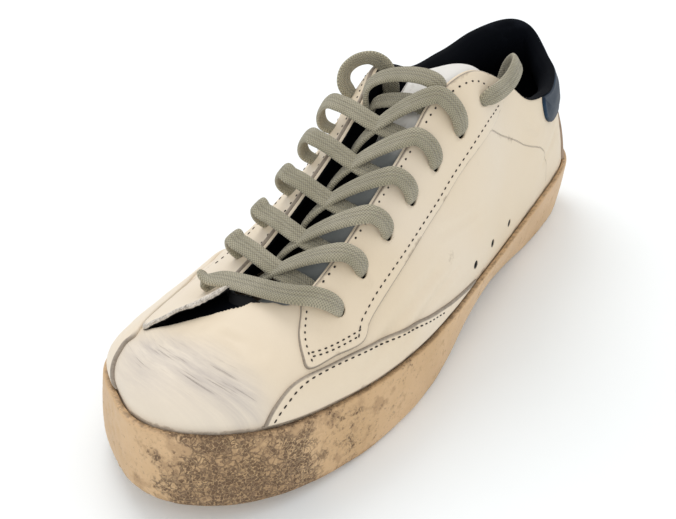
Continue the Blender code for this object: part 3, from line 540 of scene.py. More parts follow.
class Finish(Nodes):
    """A material in the making: its spot on the piece, and its tone so far."""

    def __init__(self, name):
        self.material = bpy.data.materials.new(name)
        self.material.use_nodes = True
        super().__init__(self.material.node_tree)
        self.spot = self.add("TexCoord", {}, "Object")
        self.tone = None

    def mark(self, name):
        """A value that the piece's mesh carries."""
        return self.add("Attribute", {}, "Fac", attribute_name=name)

    def use(self, effect, **inputs):
        """The output of a shared effect."""
        made = self.tree.nodes.new("ShaderNodeGroup")
        made.node_tree = GROUPS[effect]
        for label, value in inputs.items():
            self.put(made.inputs[label], value)
        return Value(self, made.outputs[0])

    def cover(self, share, colour):
        """Lays a colour over the tone."""
        self.tone = self.mixed(share, self.tone, colour)

    def stretched(self, turn, sizes):
        """Coordinates for streaks: turned about z, then counted in features of these sizes in metres."""
        inputs = {"Vector": self.spot, "Rotation": (0.0, 0.0, turn), "Scale": sizes}
        return self.add("Mapping", inputs, vector_type="TEXTURE")

    def ringed(self, wide, long):
        """Coordinates for streaks that curve round the scuffs' middle, for features of that width and length."""
        away = self.add("VectorMath", {0: self.spot, 1: tuple(place(SCUFF_MIDDLE))}, operation="SUBTRACT")
        x, y, _ = self.add("SeparateXYZ", {0: away}, None)
        radius = self.add("VectorMath", {0: self.add("CombineXYZ", {0: x, 1: y})}, "Value", operation="LENGTH")
        curve = self.calc("ARCTAN2", y, x) * (SCUFF_RADIUS * MM / long)
        return self.add("CombineXYZ", {0: self.calc("DIVIDE", radius, wide), 1: curve})

    def done(self, **sockets):
        """The material, with these sockets of its shader set. A name's _ stands for a space."""
        shader = self.tree.nodes["Principled BSDF"]
        for label, value in sockets.items():
            self.put(shader.inputs[label.replace("_", " ")], value)
        return self.material


CREAM = (0.755, 0.635, 0.47)
PALE = (0.785, 0.69, 0.56)
RUBBED_PALE = (0.80, 0.765, 0.715)
BRUSHED_GREY = (0.42, 0.375, 0.36)
STREAK_GREY = (0.18, 0.14, 0.115)
DIRT = (0.24, 0.175, 0.115)
# Painted shade: black for the inside of eyelets and vents and for the shadowed gap under the torn facing.
PAINTED_SHADE_BLACK = (0.003, 0.003, 0.004)
SCUFF_MIDDLE = (228.0, 7.0, 0.0)  # the brushed streaks of the toe curve round this spot
SCUFF_RADIUS = 56.0


def leather_material(name, clean, second, toe_dark=None):
    """Smooth white leather: cream and paler patches, grain, rubbed dirt, fine cracks and brush-like scuffs, a dark teal
    grey towards the toe where one is given, and painted black shade in eyelets, vents and the gap under the torn
    facing.
    """
    made = Finish(name)
    spot = made.spot
    made.tone = made.mixed(made.step(made.noise(spot, 11.0, 2.0), 0.38, 0.68), clean, second)
    if toe_dark:
        made.cover(made.mark("toe_dark"), toe_dark)
    scuff = made.mark("scuff")
    made.cover(scuff * 0.35, RUBBED_PALE)
    dull = made.use("grime", Place=spot, Scale=110.0, Amount=made.mark("dirt"))
    made.cover(dull * 0.55, DIRT)
    haze = scuff * made.step(made.noise(made.ringed(0.0030, 0.034), 1.0, 5.0, 0.7), 0.22, 0.78)
    made.cover(haze * 0.78, BRUSHED_GREY)
    fine = made.noise(made.ringed(0.0006, 0.020), 1.0, 2.0, 0.5)
    streak = made.step(fine + scuff * 0.14, 0.70, 0.84) * made.step(scuff, 0.25, 0.8)
    made.cover(streak * 0.45, STREAK_GREY)
    lines = made.use("cracks", Place=spot, Scale=420.0, Width=0.05, Amount=made.mark("wear"))
    made.cover(lines * 0.4, (0.34, 0.26, 0.185))
    offset = made.calc("ABSOLUTE", made.mark("seam"))
    seam = (1.0 - made.step(offset, 0.10, 0.42)) * made.mark("sewn")
    made.cover(seam * 0.38, (0.30, 0.24, 0.18))
    fibres = made.noise(spot, 900.0, 4.0, 0.7)
    made.cover(made.mark("raw"), made.mixed(fibres, (0.13, 0.105, 0.085), (0.46, 0.39, 0.31)))
    torn = made.mark("torn")
    strands = made.noise(made.stretched(0.35, (0.0025, 0.0007, 0.0007)), 1.0, 5.0, 0.75)
    made.cover(torn, made.mixed(made.step(strands, 0.30, 0.62), (0.33, 0.295, 0.25), (0.80, 0.74, 0.65)))
    # Painted shade: eyelets, vents and the gap under the torn facing are painted black as if in shadow; on the torn
    # facing's underside the black is both its dark underside and the gap's shade.
    hollow_shade = made.most(made.step(made.mark("hole"), 0.70, 0.77), made.step(made.mark("gap"), 0.47, 0.53))
    for turn, level in VENTS:
        middle = tuple(place(skin(math.radians(turn), level)))
        away = made.add("VectorMath", {0: spot, 1: middle}, "Value", operation="DISTANCE")
        hollow_shade = made.most(hollow_shade, 1.0 - made.step(away, (VENT_RADIUS - 0.45) * MM, VENT_RADIUS * MM))
    made.cover(hollow_shade, PAINTED_SHADE_BLACK)
    gloss = 0.42 + made.noise(spot, 40.0) * 0.14
    normal = made.bump(made.use("grain", Place=spot, Scale=1100.0), 0.00006, 0.7)
    normal = made.bump(0.0 - made.most(lines, streak), 0.0002, 0.7, normal)
    normal = made.bump(torn * strands, 0.0006, 0.9, normal)
    return made.done(
        Base_Color=made.tone,
        Roughness=gloss + made.most(made.most(dull, haze), hollow_shade) * 0.3,
        Specular_IOR_Level=0.4,
        Normal=made.bump(0.0 - made.most(seam, hollow_shade), 0.0005, 0.9, normal),
    )


def rubber_material():
    """Tan cup sole: crazed dark brown round the inner toe, dark where it meets the upper and the ground."""
    made = Finish("tan_rubber")
    spot = made.spot
    patches = made.step(made.noise(spot, 30.0, 4.0, 0.6), 0.3, 0.7)
    made.tone = made.mixed(patches, (0.56, 0.365, 0.185), (0.66, 0.45, 0.255))
    wear = made.mark("wear")
    dirt = made.use("grime", Place=spot, Scale=120.0, Amount=made.mark("dirt"))
    made.cover(dirt * 0.5, (0.30, 0.185, 0.10))
    crazed = made.use("crazing", Place=spot, Scale=760.0, Amount=wear)
    made.cover(crazed * 0.86, (0.105, 0.056, 0.028))
    lines = made.use("cracks", Place=spot, Scale=330.0, Width=0.10, Amount=wear)
    made.cover(lines * 0.5, (0.10, 0.06, 0.035))
    specks = made.step(made.noise(spot, 800.0, 2.0) + wear * 0.08, 0.66, 0.73)
    made.cover(specks * 0.45, (0.22, 0.14, 0.085))
    joint = made.mark("joint") * made.step(made.noise(spot, 420.0, 4.0, 0.7), 0.36, 0.66)
    made.cover(joint * 0.75, (0.12, 0.072, 0.042))
    normal = made.bump(made.noise(spot, 500.0, 5.0), 0.0002, 0.6)
    return made.done(
        Base_Color=made.tone,
        Roughness=0.5 + made.most(dirt, crazed) * 0.3,
        Normal=made.bump(0.0 - made.most(lines, crazed), 0.0005, 0.9, normal),
    )


def lace_material():
    """Flat woven lace, olive grey, with a rib along its middle and a rubbed nap."""
    made = Finish("woven_lace")
    spot = made.spot
    across = made.mark("across")
    rows = made.use("weave", Along=made.mark("along"), Across=across, Density=6.2)
    nap = made.noise(spot, 1500.0, 3.0)
    faded = made.step(made.noise(spot, 60.0, 4.0), 0.35, 0.7)
    made.tone = made.mixed(faded, (0.385, 0.345, 0.226), (0.52, 0.47, 0.332))
    made.cover(made.step(rows, 0.4, -0.5) * 0.55, (0.075, 0.066, 0.048))
    rib = made.calc("ABSOLUTE", made.calc("SUBTRACT", made.calc("ABSOLUTE", across), 0.75))
    groove = 1.0 - made.step(rib, 0.10, 0.50)
    made.cover(groove * 0.30, (0.09, 0.078, 0.056))
    made.cover(nap * 0.25, (0.47, 0.45, 0.36))
    return made.done(
        Base_Color=made.tone,
        Roughness=0.9,
        Sheen_Weight=0.25,
        Normal=made.bump(rows + nap * 0.8 + groove * -0.8, 0.00026, 0.9),
    )


def navy_material(name, colour, rough, gloss, pores):
    """Nearly black navy leather or cloth, dusty along its ridges."""
    made = Finish(name)
    dust = made.use("grime", Place=made.spot, Scale=70.0, Amount=made.mark("dirt"))
    dusty = tuple(2.5 * value + 0.004 for value in colour)
    return made.done(
        Base_Color=made.mixed(dust * 0.5, colour, dusty),
        Roughness=rough,
        Specular_IOR_Level=gloss,
        Normal=made.bump(made.use("grain", Place=made.spot, Scale=pores), 0.00008, 0.8),
    )


def cloth_material(name, first, second):
    """Rubbed brown cloth for the insole and the tongue's lining."""
    made = Finish(name)
    made.tone = made.mixed(made.step(made.noise(made.spot, 35.0, 5.0, 0.6), 0.35, 0.68), first, second)
    threads = made.noise(made.stretched(0.3, (0.0011, 0.00055, 0.00065)), 1.0, 2.0)
    made.cover(threads * 0.4, (0.03, 0.02, 0.012))
    return made.done(Base_Color=made.tone, Roughness=0.9, Normal=made.bump(threads, 0.00025, 0.8))


def suede_material():
    """Taupe counter leather, rubbed lighter at its edges."""
    made = Finish("taupe_counter")
    nap = made.noise(made.spot, 380.0, 5.0, 0.65)
    made.tone = made.mixed(nap, (0.30, 0.215, 0.155), (0.43, 0.33, 0.25))
    rubbed = made.use("grime", Place=made.spot, Scale=80.0, Amount=made.mark("dirt"))
    made.cover(rubbed * 0.5, (0.17, 0.12, 0.085))
    return made.done(Base_Color=made.tone, Roughness=0.75, Normal=made.bump(nap, 0.0002, 0.6))


def plain_material(name, colour, roughness):
    return Finish(name).done(Base_Color=colour, Roughness=roughness)


MATERIALS = {}


def make_materials():
    # The tongue's two white tones, and the dark teal grey it turns to towards the toe.
    tongue = ((0.70, 0.68, 0.64), (0.76, 0.74, 0.70), (0.036, 0.048, 0.048))
    MATERIALS["leather"] = leather_material("white_leather", CREAM, PALE)
    MATERIALS["tongue"] = leather_material("tongue_leather", *tongue)
    MATERIALS["rubber"] = rubber_material()
    MATERIALS["lace"] = lace_material()
    MATERIALS["navy"] = navy_material("navy_tab", (0.004, 0.017, 0.038), 0.5, 0.2, 900.0)
    MATERIALS["lining"] = navy_material("navy_lining", (0.0016, 0.0024, 0.0045), 0.85, 0.08, 2200.0)
    MATERIALS["insole"] = cloth_material("insole_cloth", (0.20, 0.13, 0.08), (0.30, 0.21, 0.14))
    MATERIALS["brown"] = cloth_material("tongue_lining", (0.17, 0.11, 0.07), (0.26, 0.18, 0.12))
    MATERIALS["counter"] = suede_material()
    MATERIALS["needle_hole"] = plain_material("needle_hole", (0.03, 0.022, 0.016), 0.8)


# ---------------------------------------------------------------- meshes
def grid_faces(rows, columns, closed=False):
    """Quads of a grid of points, closed round in its columns where asked."""
    row = np.arange(rows - 1)[:, None] * columns
    column = np.arange(columns if closed else columns - 1)[None, :]
    after = (column + 1) % columns
    quads = np.stack([row + column, row + after, row + columns + after, row + columns + column], -1)
    return quads.reshape(-1, 4).tolist()


def joined(parts):
    """(points, faces) of several meshes as one."""
    faces, first = [], 0
    for points, part_faces in parts:
        faces += [[corner + first for corner in face] for face in part_faces]
        first += len(points)
    return np.concatenate([points for points, _ in parts]), faces


def add_piece(name, points, faces, materials, slot, instead_of=(), marks=None, kinds=None):
    """A mesh that rides with the shoe. marks are values at its points, kinds the material number of each face."""
    mesh = bpy.data.meshes.new(name)
    mesh.from_pydata(place(points).tolist(), [], faces)
    for key, values in (marks or {}).items():
        layer = mesh.attributes.new(key, "FLOAT", "POINT")
        layer.data.foreach_set("value", np.broadcast_to(values, len(points)).astype(np.float32).copy())
    for material in materials:
        mesh.materials.append(MATERIALS[material])
    if kinds is not None:
        mesh.polygons.foreach_set("material_index", np.asarray(kinds, np.int32))
    form = bmesh.new()
    form.from_mesh(mesh)
    bmesh.ops.remove_doubles(form, verts=form.verts, dist=0.00001)
    bmesh.ops.recalc_face_normals(form, faces=form.faces)
    if form.calc_volume(signed=True) < 0:
        bmesh.ops.reverse_faces(form, faces=form.faces)
    form.to_mesh(mesh)
    form.free()
    mesh.shade_smooth()
    obj = bpy.data.objects.new(name, mesh)
    bpy.context.scene.collection.objects.link(obj)
    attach(obj, "root")
    if instead_of:
        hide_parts(*instead_of)
    return obj


def lengths_along(line):
    """Millimetres along a line up to each of its points."""
    return np.concatenate([[0], np.cumsum(np.linalg.norm(np.diff(line, axis=0), axis=1))])


def read_at(stops, lengths, values):
    """Rows of values known at lengths along a line, read at the stops."""
    return np.stack([np.interp(stops, lengths, column) for column in values.T], -1)


def surface_path(stations, side, height, gap):
    """Points every gap millimetres along a smooth line over the upper, from (turn, level) stations, with the
    direction of the line and the upper's normal at each."""
    turn, level = smooth_rows(stations, 16)
    at = np.radians(turn) * side
    line = raised(at, level, height)
    lengths = lengths_along(line)
    stops = np.arange(gap / 2, lengths[-1], gap)
    points = read_at(stops, lengths, line)
    normals = skin_normal(np.interp(stops, lengths, at), np.interp(stops, lengths, level))
    return points, unit(np.gradient(points, axis=0)), normals


FAR = 14.0  # distances from a line aren't measured beyond this


def distance_to(points, line):
    """Millimetres from each point to the nearest of a line's segments, or FAR beyond that."""
    points = points.reshape(-1, 3)
    best = np.full(len(points), FAR)
    close = np.all((points > line.min(axis=0) - FAR) & (points < line.max(axis=0) + FAR), axis=1)
    near = points[close]
    least = np.full(len(near), FAR)
    for start, end in zip(line[:-1], line[1:]):
        run = end - start
        share = np.clip((near - start) @ run / max(run @ run, 1e-9), 0, 1)
        least = np.minimum(least, np.linalg.norm(near - start - share[:, None] * run, axis=1))
    best[close] = least
    return best


def seam_offset(points, line, side):
    """(signed millimetres from a line on that side of the shoe, 1 beside the line and 0 past its ends)."""
    best = np.full(len(points), 1e9)
    offset = np.full(len(points), FAR)
    beside = np.zeros(len(points))
    for i, (start, end) in enumerate(zip(line[:-1], line[1:])):
        run = end - start
        share = (points - start) @ run / (run @ run)
        away = points - start - np.clip(share, 0, 1)[:, None] * run
        far = np.linalg.norm(away, axis=1)
        past = (share < 0) & (i == 0) | (share > 1) & (i == len(line) - 2)
        nearer = far < best
        best[nearer] = far[nearer]
        offset[nearer] = (far * np.sign((run[0] * away[:, 2] - run[2] * away[:, 0]) * side))[nearer]
        beside[nearer] = ~past[nearer]
    return offset, beside


def soft(value, low, high):
    """Soft step from 0 at low to 1 at high."""
    t = np.clip((value - low) / (high - low), 0, 1)
    return t * t * (3 - 2 * t)


def ripple(points, scale, seed):
    """Smooth pseudo-random values from -1 to 1 over points, with features about scale millimetres across."""
    rng = np.random.default_rng(seed)
    total = np.zeros(points.shape[:-1])
    for octave in range(1, 4):
        for _ in range(5):
            direction = unit(rng.normal(size=3))
            phase = rng.uniform(0, 2 * math.pi)
            total += np.sin(points @ direction * (2 * math.pi * octave / scale) + phase) / (5 * octave)
    return total


def closed_shell(outside, inside, faces):
    """(points, faces) of a sheet between two copies of a grid, with its open borders and holes walled round."""
    outside, inside = outside.reshape(-1, 3), inside.reshape(-1, 3)
    count = len(outside)
    used = {(start, end): True for face in faces for start, end in zip(face, face[1:] + face[:1])}
    walls = [[end, start, start + count, end + count] for start, end in used if (end, start) not in used]
    back = [[corner + count for corner in face[::-1]] for face in faces]
    return np.concatenate([outside, inside]), faces + back + walls


def spanned(ring, share):
    """Rows of points across a closed ring, from its medial half to its lateral one."""
    half = len(ring) // 2
    lateral = ring[(-np.arange(half + 1)) % len(ring), None]
    return ring[: half + 1, None] * (1 - share[:, None]) + lateral * share[:, None]


# ---------------------------------------------------------------- sole
CRAZED = (108.0, 152.0, 160.0, 186.0)  # turns between which the side wall is crazed: it rises over the first two
SOLE_AROUND = 720
SOLE_BULGE = 0.5
LIP_ROUND = 0.9


def sole_wall():
    """Rings of the sole's side, from the tread's edge over the rolled lip and down into the cup."""
    at = np.radians(np.arange(SOLE_AROUND) * 360.0 / SOLE_AROUND)
    side = edge_top(at) - edge_lift(at)
    rings = []
    for angle in np.linspace(0, math.pi / 2, 6):
        rings.append(side_wall(at, EDGE_ROUND * (1 - math.cos(angle)) / side, EDGE_ROUND * (1 - math.sin(angle))))
    for height in np.linspace(0.16, 0.93, 20):
        rings.append(side_wall(at, height, -SOLE_BULGE * math.sin(math.pi * height)))
    for angle in np.linspace(0.2, math.pi / 2, 5):
        rings.append(cup_wall(at, LIP_ROUND * (1 - math.sin(angle)), LIP_ROUND * (1 - math.cos(angle))))
    for drop, inset in ((0.0, LIP - 0.4), (0.6, LIP), (6.0, LIP), (CUP_DEPTH, LIP)):
        rings.append(cup_wall(at, drop, inset))
    wall = np.array(rings)
    _, outward = top_edge(at)
    uneven = ripple(wall, 46.0, 3) * 0.22 + ripple(wall, 15.0, 4) * 0.07
    wall[2:28, :, :2] += (outward[None] * uneven[..., None])[2:28]
    toe = soft(wall[..., 0], 215.0, 285.0)
    pits = np.clip(ripple(wall, 5.0, 6), 0, 1) * toe * 0.35
    wall[3:26, :, :2] -= (outward[None] * pits[..., None])[3:26]
    return np.degrees(at), wall


def grooved_tread(edge):
    """The tread inside its edge, with its cross grooves."""
    tread = spanned(edge, np.linspace(0, 1, 49))
    x, y = tread[..., 0], tread[..., 1]
    inside = np.minimum(y - y[:, -1:], y[:, :1] - y)
    groove = np.zeros_like(x)
    for middle in GROOVES:
        groove = np.maximum(groove, 1 - soft(np.abs(x - middle), GROOVE_WIDE / 2 - 0.5, GROOVE_WIDE / 2 + 0.5))
    tread[..., 2] += groove * soft(inside, GROOVE_MARGIN - 0.8, GROOVE_MARGIN + 0.8) * GROOVE_DEEP
    return tread


def make_sole():
    """Cup sole with its grooved tread, worn round edge, bulged side wall and rolled lip."""
    turns, wall = sole_wall()
    tread = grooved_tread(wall[0])
    floor = spanned(wall[-1], np.linspace(0, 1, 9))
    points, faces = joined(
        [
            (wall.reshape(-1, 3), grid_faces(len(wall), SOLE_AROUND, closed=True)),
            (tread.reshape(-1, 3), grid_faces(*tread.shape[:2])),
            (floor.reshape(-1, 3), [face[::-1] for face in grid_faces(*floor.shape[:2])]),
        ]
    )
    on_wall = wall.size // 3
    x, _, z = points.T
    low = np.interp(x, [row.x for row in SOLE], [max(row.medial_lift, 0) for row in SOLE])
    top = np.interp(x, [row.x for row in SOLE], [row.top for row in SOLE])
    turn = np.zeros(len(points))
    turn[:on_wall] = np.tile(turns, len(wall))
    joint = np.zeros(len(points))
    joint[:on_wall] = np.repeat(0.8 * soft(np.arange(len(wall)), 28.0, 30.0), SOLE_AROUND)
    crazed = soft(turn, CRAZED[0], CRAZED[1]) * (1 - soft(turn, CRAZED[2], CRAZED[3]))
    high = np.clip((z - low) / (top - low), 0, 1)
    marks = {
        "wear": 0.16 + 0.52 * crazed * (1 - 0.30 * soft(high, 0.55, 0.95)) + 0.08 * soft(x, 150.0, 230.0),
        "dirt": 0.10 + 0.28 * crazed + 0.35 * soft(3.5 - (z - low), 0.0, 3.5),
        "joint": joint,
    }
    add_piece("cup_sole", points, faces, ["rubber"], "sole_rubber", ["sole"], marks)


# ---------------------------------------------------------------- upper
QUARTER_SEAM = [
    (86.0, 0.712), (81.4, 0.700), (76.0, 0.680), (70.0, 0.620), (63.7, 0.540), (59.0, 0.44), (56.0, 0.30), (54.0, 0.06),
]
VENTS = [(92.5, 0.137), (85.7, 0.148), (77.7, 0.152)]
VENT_RADIUS = 1.9
# Upper border of the bare vamp where the facing has torn away, as lateral turns and levels.
VAMP_EDGE = [
    (154, 0.46), (155, 0.52), (156, 0.58), (158, 0.66), (160, 0.73), (163, 0.80),
    (169, 0.87), (176, 0.91), (184, 0.94), (191, 0.98), (204, 1.0),
]
# Scuffed patches of the toe: middle, half widths along x and y, and strength.
SCUFFS = [
    (280.0, -10.0, 8.0, 14.0, 0.85), (279.0, 14.0, 8.5, 15.0, 0.95),
    (275.0, 26.0, 5.0, 7.0, 0.55), (291.0, -2.0, 5.0, 13.0, 0.40),
]
# Rubbed stain ahead of the vents: its middle, its half sizes, and the axes that they follow.
SMUDGE_MIDDLE = (178.0, 41.0, 49.5)
SMUDGE_SIZES = (16.0, 9.0, 3.4)
SMUDGE_AXES = ((0.96, 0, -0.28), (0, 1, 0), (0.28, 0, 0.96))
UPPER_AROUND = 540
LEATHER_MARKS = dict.fromkeys(("raw", "seam", "sewn", "torn", "hole", "gap", "scuff", "wear", "dirt"), 0.0)

Furrow = namedtuple("Furrow", "side stations depth width")
FURROWS = [
    Furrow(1, [(150, 0.62), (158, 0.72), (170, 0.76), (184, 0.74)], 0.8, 5.0),
    Furrow(1, [(143, 0.50), (152, 0.56), (165, 0.62), (180, 0.62)], -0.5, 6.0),
    Furrow(1, [(128, 0.14), (122, 0.26), (112, 0.34), (101, 0.36)], 0.7, 4.5),
    Furrow(1, [(119, 0.12), (112, 0.20), (104, 0.24), (96, 0.24)], 0.5, 4.0),
    Furrow(1, [(104, 0.52), (98, 0.44), (93, 0.40), (88, 0.39)], 0.45, 3.5),
    Furrow(1, [(62, 0.30), (56, 0.38), (48, 0.42), (40, 0.42)], 0.5, 5.0),
    Furrow(1, [(74, 0.86), (68, 0.74), (62, 0.66)], 0.5, 5.0),
    Furrow(-1, [(128, 0.14), (121, 0.28), (112, 0.36), (102, 0.38)], 0.9, 5.0),
    Furrow(-1, [(116, 0.12), (110, 0.22), (102, 0.28), (94, 0.28)], 0.6, 4.5),
    Furrow(-1, [(104, 0.50), (97, 0.42), (90, 0.40)], 0.5, 4.0),
    Furrow(-1, [(72, 0.82), (66, 0.66), (58, 0.56)], 0.6, 5.0),
    Furrow(-1, [(64, 0.26), (56, 0.36), (46, 0.40)], 0.5, 5.0),
    Furrow(-1, [(150, 0.30), (157, 0.44), (166, 0.52), (176, 0.55)], 0.7, 5.0),
]


def furrow_lines():
    paths = [surface_path(furrow.stations, furrow.side, 0.0, 2.5) for furrow in FURROWS]
    return [(path[0], furrow.depth, furrow.width) for path, furrow in zip(paths, FURROWS)]


def relief(points, lines):
    """Height of the creases over the skin's points."""
    flat = points.reshape(-1, 3)
    height = ripple(flat, 70.0, 11) * 0.35 + ripple(flat, 24.0, 12) * 0.12
    for line, depth, width in lines:
        near = distance_to(flat, line)
        from_ends = np.minimum(*(np.linalg.norm(flat - end, axis=1) for end in (line[0], line[-1])))
        depth = depth * soft(from_ends, 1.0, 9.0)
        height -= depth * np.exp(-((near / (width * 0.45)) ** 2))
        height += 0.35 * depth * np.exp(-(((near - width * 0.95) / (width * 0.5)) ** 2))
    return height.reshape(points.shape[:-1])


def skin_relief(base, level, lines):
    """The creases' height, fading out at the sole and at the rim."""
    return relief(base, lines) * soft(level, 0.0, 0.10) * soft(1.02 - level, 0.0, 0.14)


def eyelet_marks(base):
    """(how deep each point of the skin lies in a hole, how much painted black shade it gets in and round an eyelet)."""
    hole, dark = np.zeros(base.shape[:-1]), np.zeros(base.shape[:-1])
    for turn, level in VENTS:
        away = np.linalg.norm(base - skin(math.radians(turn), level), axis=-1)
        hole = np.maximum(hole, 0.6 * (1 - soft(away, VENT_RADIUS - 0.95, VENT_RADIUS)))
    for side, eyelets in ((1, EYELETS), (-1, LATERAL_EYELETS)):
        for turn, level in eyelets:
            away = np.linalg.norm(base - skin(side * math.radians(turn), level), axis=-1)
            hole = np.maximum(hole, 1 - soft(away, EYELET_RADIUS + 0.3, EYELET_RADIUS + 1.3))
            # Painted shade: the skin inside and just round each eyelet is marked to be painted black, as if in the
            # hole's shadow.
            dark = np.maximum(dark, np.clip(1 - (away - EYELET_RADIUS + 0.8) / 6, 0, 1))
    return hole, dark


def make_upper(lines):
    """Creased leather shell with its dark lining inside, a rounded rim, shallow dimples for the vents and eyelets
    painted black as their shade, and painted black shadow in the gap under the torn facing.
    """
    count = UPPER_AROUND
    at = np.radians(np.arange(count) * 360.0 / count)
    levels = np.concatenate([np.linspace(0, 0.08, 5)[:-1], np.linspace(0.08, 0.97, 78)[:-1], np.linspace(0.97, 1.0, 4)])
    around, up = np.meshgrid(at, levels)
    turn, up, _ = punch(np.degrees(around), up, 1, VENTS, VENT_RADIUS)
    around = np.radians(turn)
    base = skin(around, up)
    lateral_turn = 360 - turn
    torn_by = np.interp(up, [level for _, level in VAMP_EDGE], [turn for turn, _ in VAMP_EDGE]) - lateral_turn
    throat = soft(up, 0.45, 0.50) * soft(lateral_turn, 124.0, 132.0)
    # Painted shadow: the vamp under the torn facing's front is marked to be painted black, where it lies in the gap's
    # shade.
    gap = np.clip(0.5 + torn_by / 8, 0, 1) * throat
    hole, dark = eyelet_marks(base)
    lift = skin_relief(base, up, lines) - hole * 1.3
    lift -= 2.6 * soft(torn_by, -0.4, 2.8) * throat * soft(up, 0.45, 0.62) * soft(1.0 - up, 0.0, 0.06)
    outer = raised(around, up, lift)
    seat = CUP_DEPTH - GAP
    foot_out = [cup_wall(at, drop, LIP + GAP) for drop in (seat, 3.0)]
    foot_in = [cup_wall(at, drop, LIP + GAP + WALL) for drop in (3.0, seat)]
    rim = [
        raised(at, 1.0, -WALL / 2 + WALL / 2 * math.cos(angle)) + rim_slope(at) * math.sin(angle) * 0.8
        for angle in np.linspace(0, math.pi, 7)[1:-1]
    ]
    around_in, up_in = np.meshgrid(at, np.linspace(1.0, 0.0, 34))
    inner = raised(around_in, up_in, -WALL + 0.3 * relief(skin(around_in, up_in), lines) * soft(1.02 - up_in, 0.0, 0.2))
    rings = np.concatenate([foot_out, outer, rim, inner, foot_in])
    points = rings.reshape(-1, 3)
    faces = grid_faces(len(rings), count, closed=True)
    last = (len(rings) - 1) * count
    faces += [[last + i, last + (i + 1) % count, (i + 1) % count, i] for i in range(count)]
    leather_rows = len(foot_out) + len(levels) + 2
    kinds = np.array([0 if face[0] // count < leather_rows else 1 for face in faces])

    inner_side = points[:, 1] > 0
    seams = [seam_offset(points, surface_path(QUARTER_SEAM, side, 0.0, 2.0)[0], side) for side in (1, -1)]
    seam, sewn = (np.where(inner_side, near, far) for near, far in zip(*seams))

    def outer_only(values, over_rim=0.0):
        """Values of the outside as marks of all the points."""
        rows = np.zeros((len(rings), count))
        rows[len(foot_out) : len(foot_out) + len(levels)] = values
        rows[len(foot_out) + len(levels) :][: len(rim)] = over_rim
        return rows.ravel()

    scuff = np.zeros(len(points))
    for x, y, wide_x, wide_y, strength in SCUFFS:
        scuff += strength * np.exp(-(((points[:, 0] - x) / wide_x) ** 2) - ((points[:, 1] - y) / wide_y) ** 2)
    scuff = np.clip(scuff, 0, 1) * soft(points[:, 2], 30.0, 36.0)
    smudge = np.linalg.norm((points - SMUDGE_MIDDLE) @ np.array(SMUDGE_AXES) / SMUDGE_SIZES, axis=1)
    toe = soft(points[:, 0], 225.0, 265.0)
    foot = outer_only(soft(0.05 - up, 0.0, 0.05))
    dirt = 0.02 + (0.30 + 0.12 * toe) * foot + 0.10 * soft(4.0 - np.abs(seam), 0.0, 4.0) * sewn
    marks = LEATHER_MARKS | {
        "seam": seam,
        "sewn": sewn,
        # hole and gap carry painted black shade: in the eyelets, and in the gap under the torn facing.
        "hole": outer_only(dark),
        "gap": outer_only(gap, gap[-1]),
        "scuff": scuff,
        "wear": 0.10 + 0.2 * scuff,
        "dirt": dirt + 0.16 * (1 - soft(smudge, 0.0, 1.0)),
    }
    add_piece("creased_upper", points, faces, ["leather", "lining"], "upper_leather", ["upper"], marks, kinds)


# ---------------------------------------------------------------- overlays
NO_SEAM = 20.0
HOLE_CORE = 2
HOLE_REACH = 7


def punch(turn, level, side, middles, radius):
    """Moves the grid's points so that a ring of them lies round each hole, and says which faces to leave out."""
    grid = np.stack([turn, level], -1)
    gone = np.zeros((turn.shape[0] - 1, turn.shape[1] - 1), bool)
    base = skin(np.radians(turn) * side, level)
    core, reach = HOLE_CORE, HOLE_REACH
    for middle in middles:
        away = np.linalg.norm(base - skin(math.radians(middle[0]) * side, middle[1]), axis=-1)
        i, j = np.unravel_index(np.argmin(away), away.shape)
        if not (reach <= i < turn.shape[0] - reach and reach <= j < turn.shape[1] - reach):
            continue
        shift = middle - grid[i, j]
        step_i = (grid[i + 1, j] - grid[i - 1, j]) / 2
        step_j = (grid[i, j + 1] - grid[i, j - 1]) / 2
        wide_i = np.linalg.norm(base[i + 1, j] - base[i - 1, j]) / 2
        wide_j = np.linalg.norm(base[i, j + 1] - base[i, j - 1]) / 2
        for di in range(-reach, reach + 1):
            for dj in range(-reach, reach + 1):
                ring = max(abs(di), abs(dj))
                weight = soft(ring, core, reach)
                spot = grid[i + di, j + dj] + shift * (1 - weight)
                if ring:
                    angle = math.atan2(dj, di)
                    near = radius * min(ring / core, 1.0)
                    past = max(ring - core, 0)
                    offset = step_i * math.cos(angle) * (near / wide_i + past)
                    offset = offset + step_j * math.sin(angle) * (near / wide_j + past)
                    spot = (middle + offset) * (1 - weight) + spot * weight
                grid[i + di, j + dj] = spot
        gone[i - core : i + core, j - core : j + core] = True
    return grid[..., 0], grid[..., 1], gone


def band(rows, steps, across, both_sides):
    """(turn, level) grids over a band's outline, finer towards its borders."""
    low_turn, low_level, high_turn, high_level = smooth_rows(rows, steps)
    if both_sides:
        low_turn, high_turn = (np.concatenate([-turn[:0:-1], turn]) for turn in (low_turn, high_turn))
        low_level, high_level = (np.concatenate([level[:0:-1], level]) for level in (low_level, high_level))
    share = np.concatenate([[0, 0.004, 0.010, 0.018], np.linspace(0.03, 0.975, across), [0.985, 0.993, 1.0]])
    turn = low_turn[:, None] * (1 - share) + high_turn[:, None] * share
    level = low_level[:, None] * (1 - share) + high_level[:, None] * share
    return turn, np.clip(level, 0.0, 1.0)


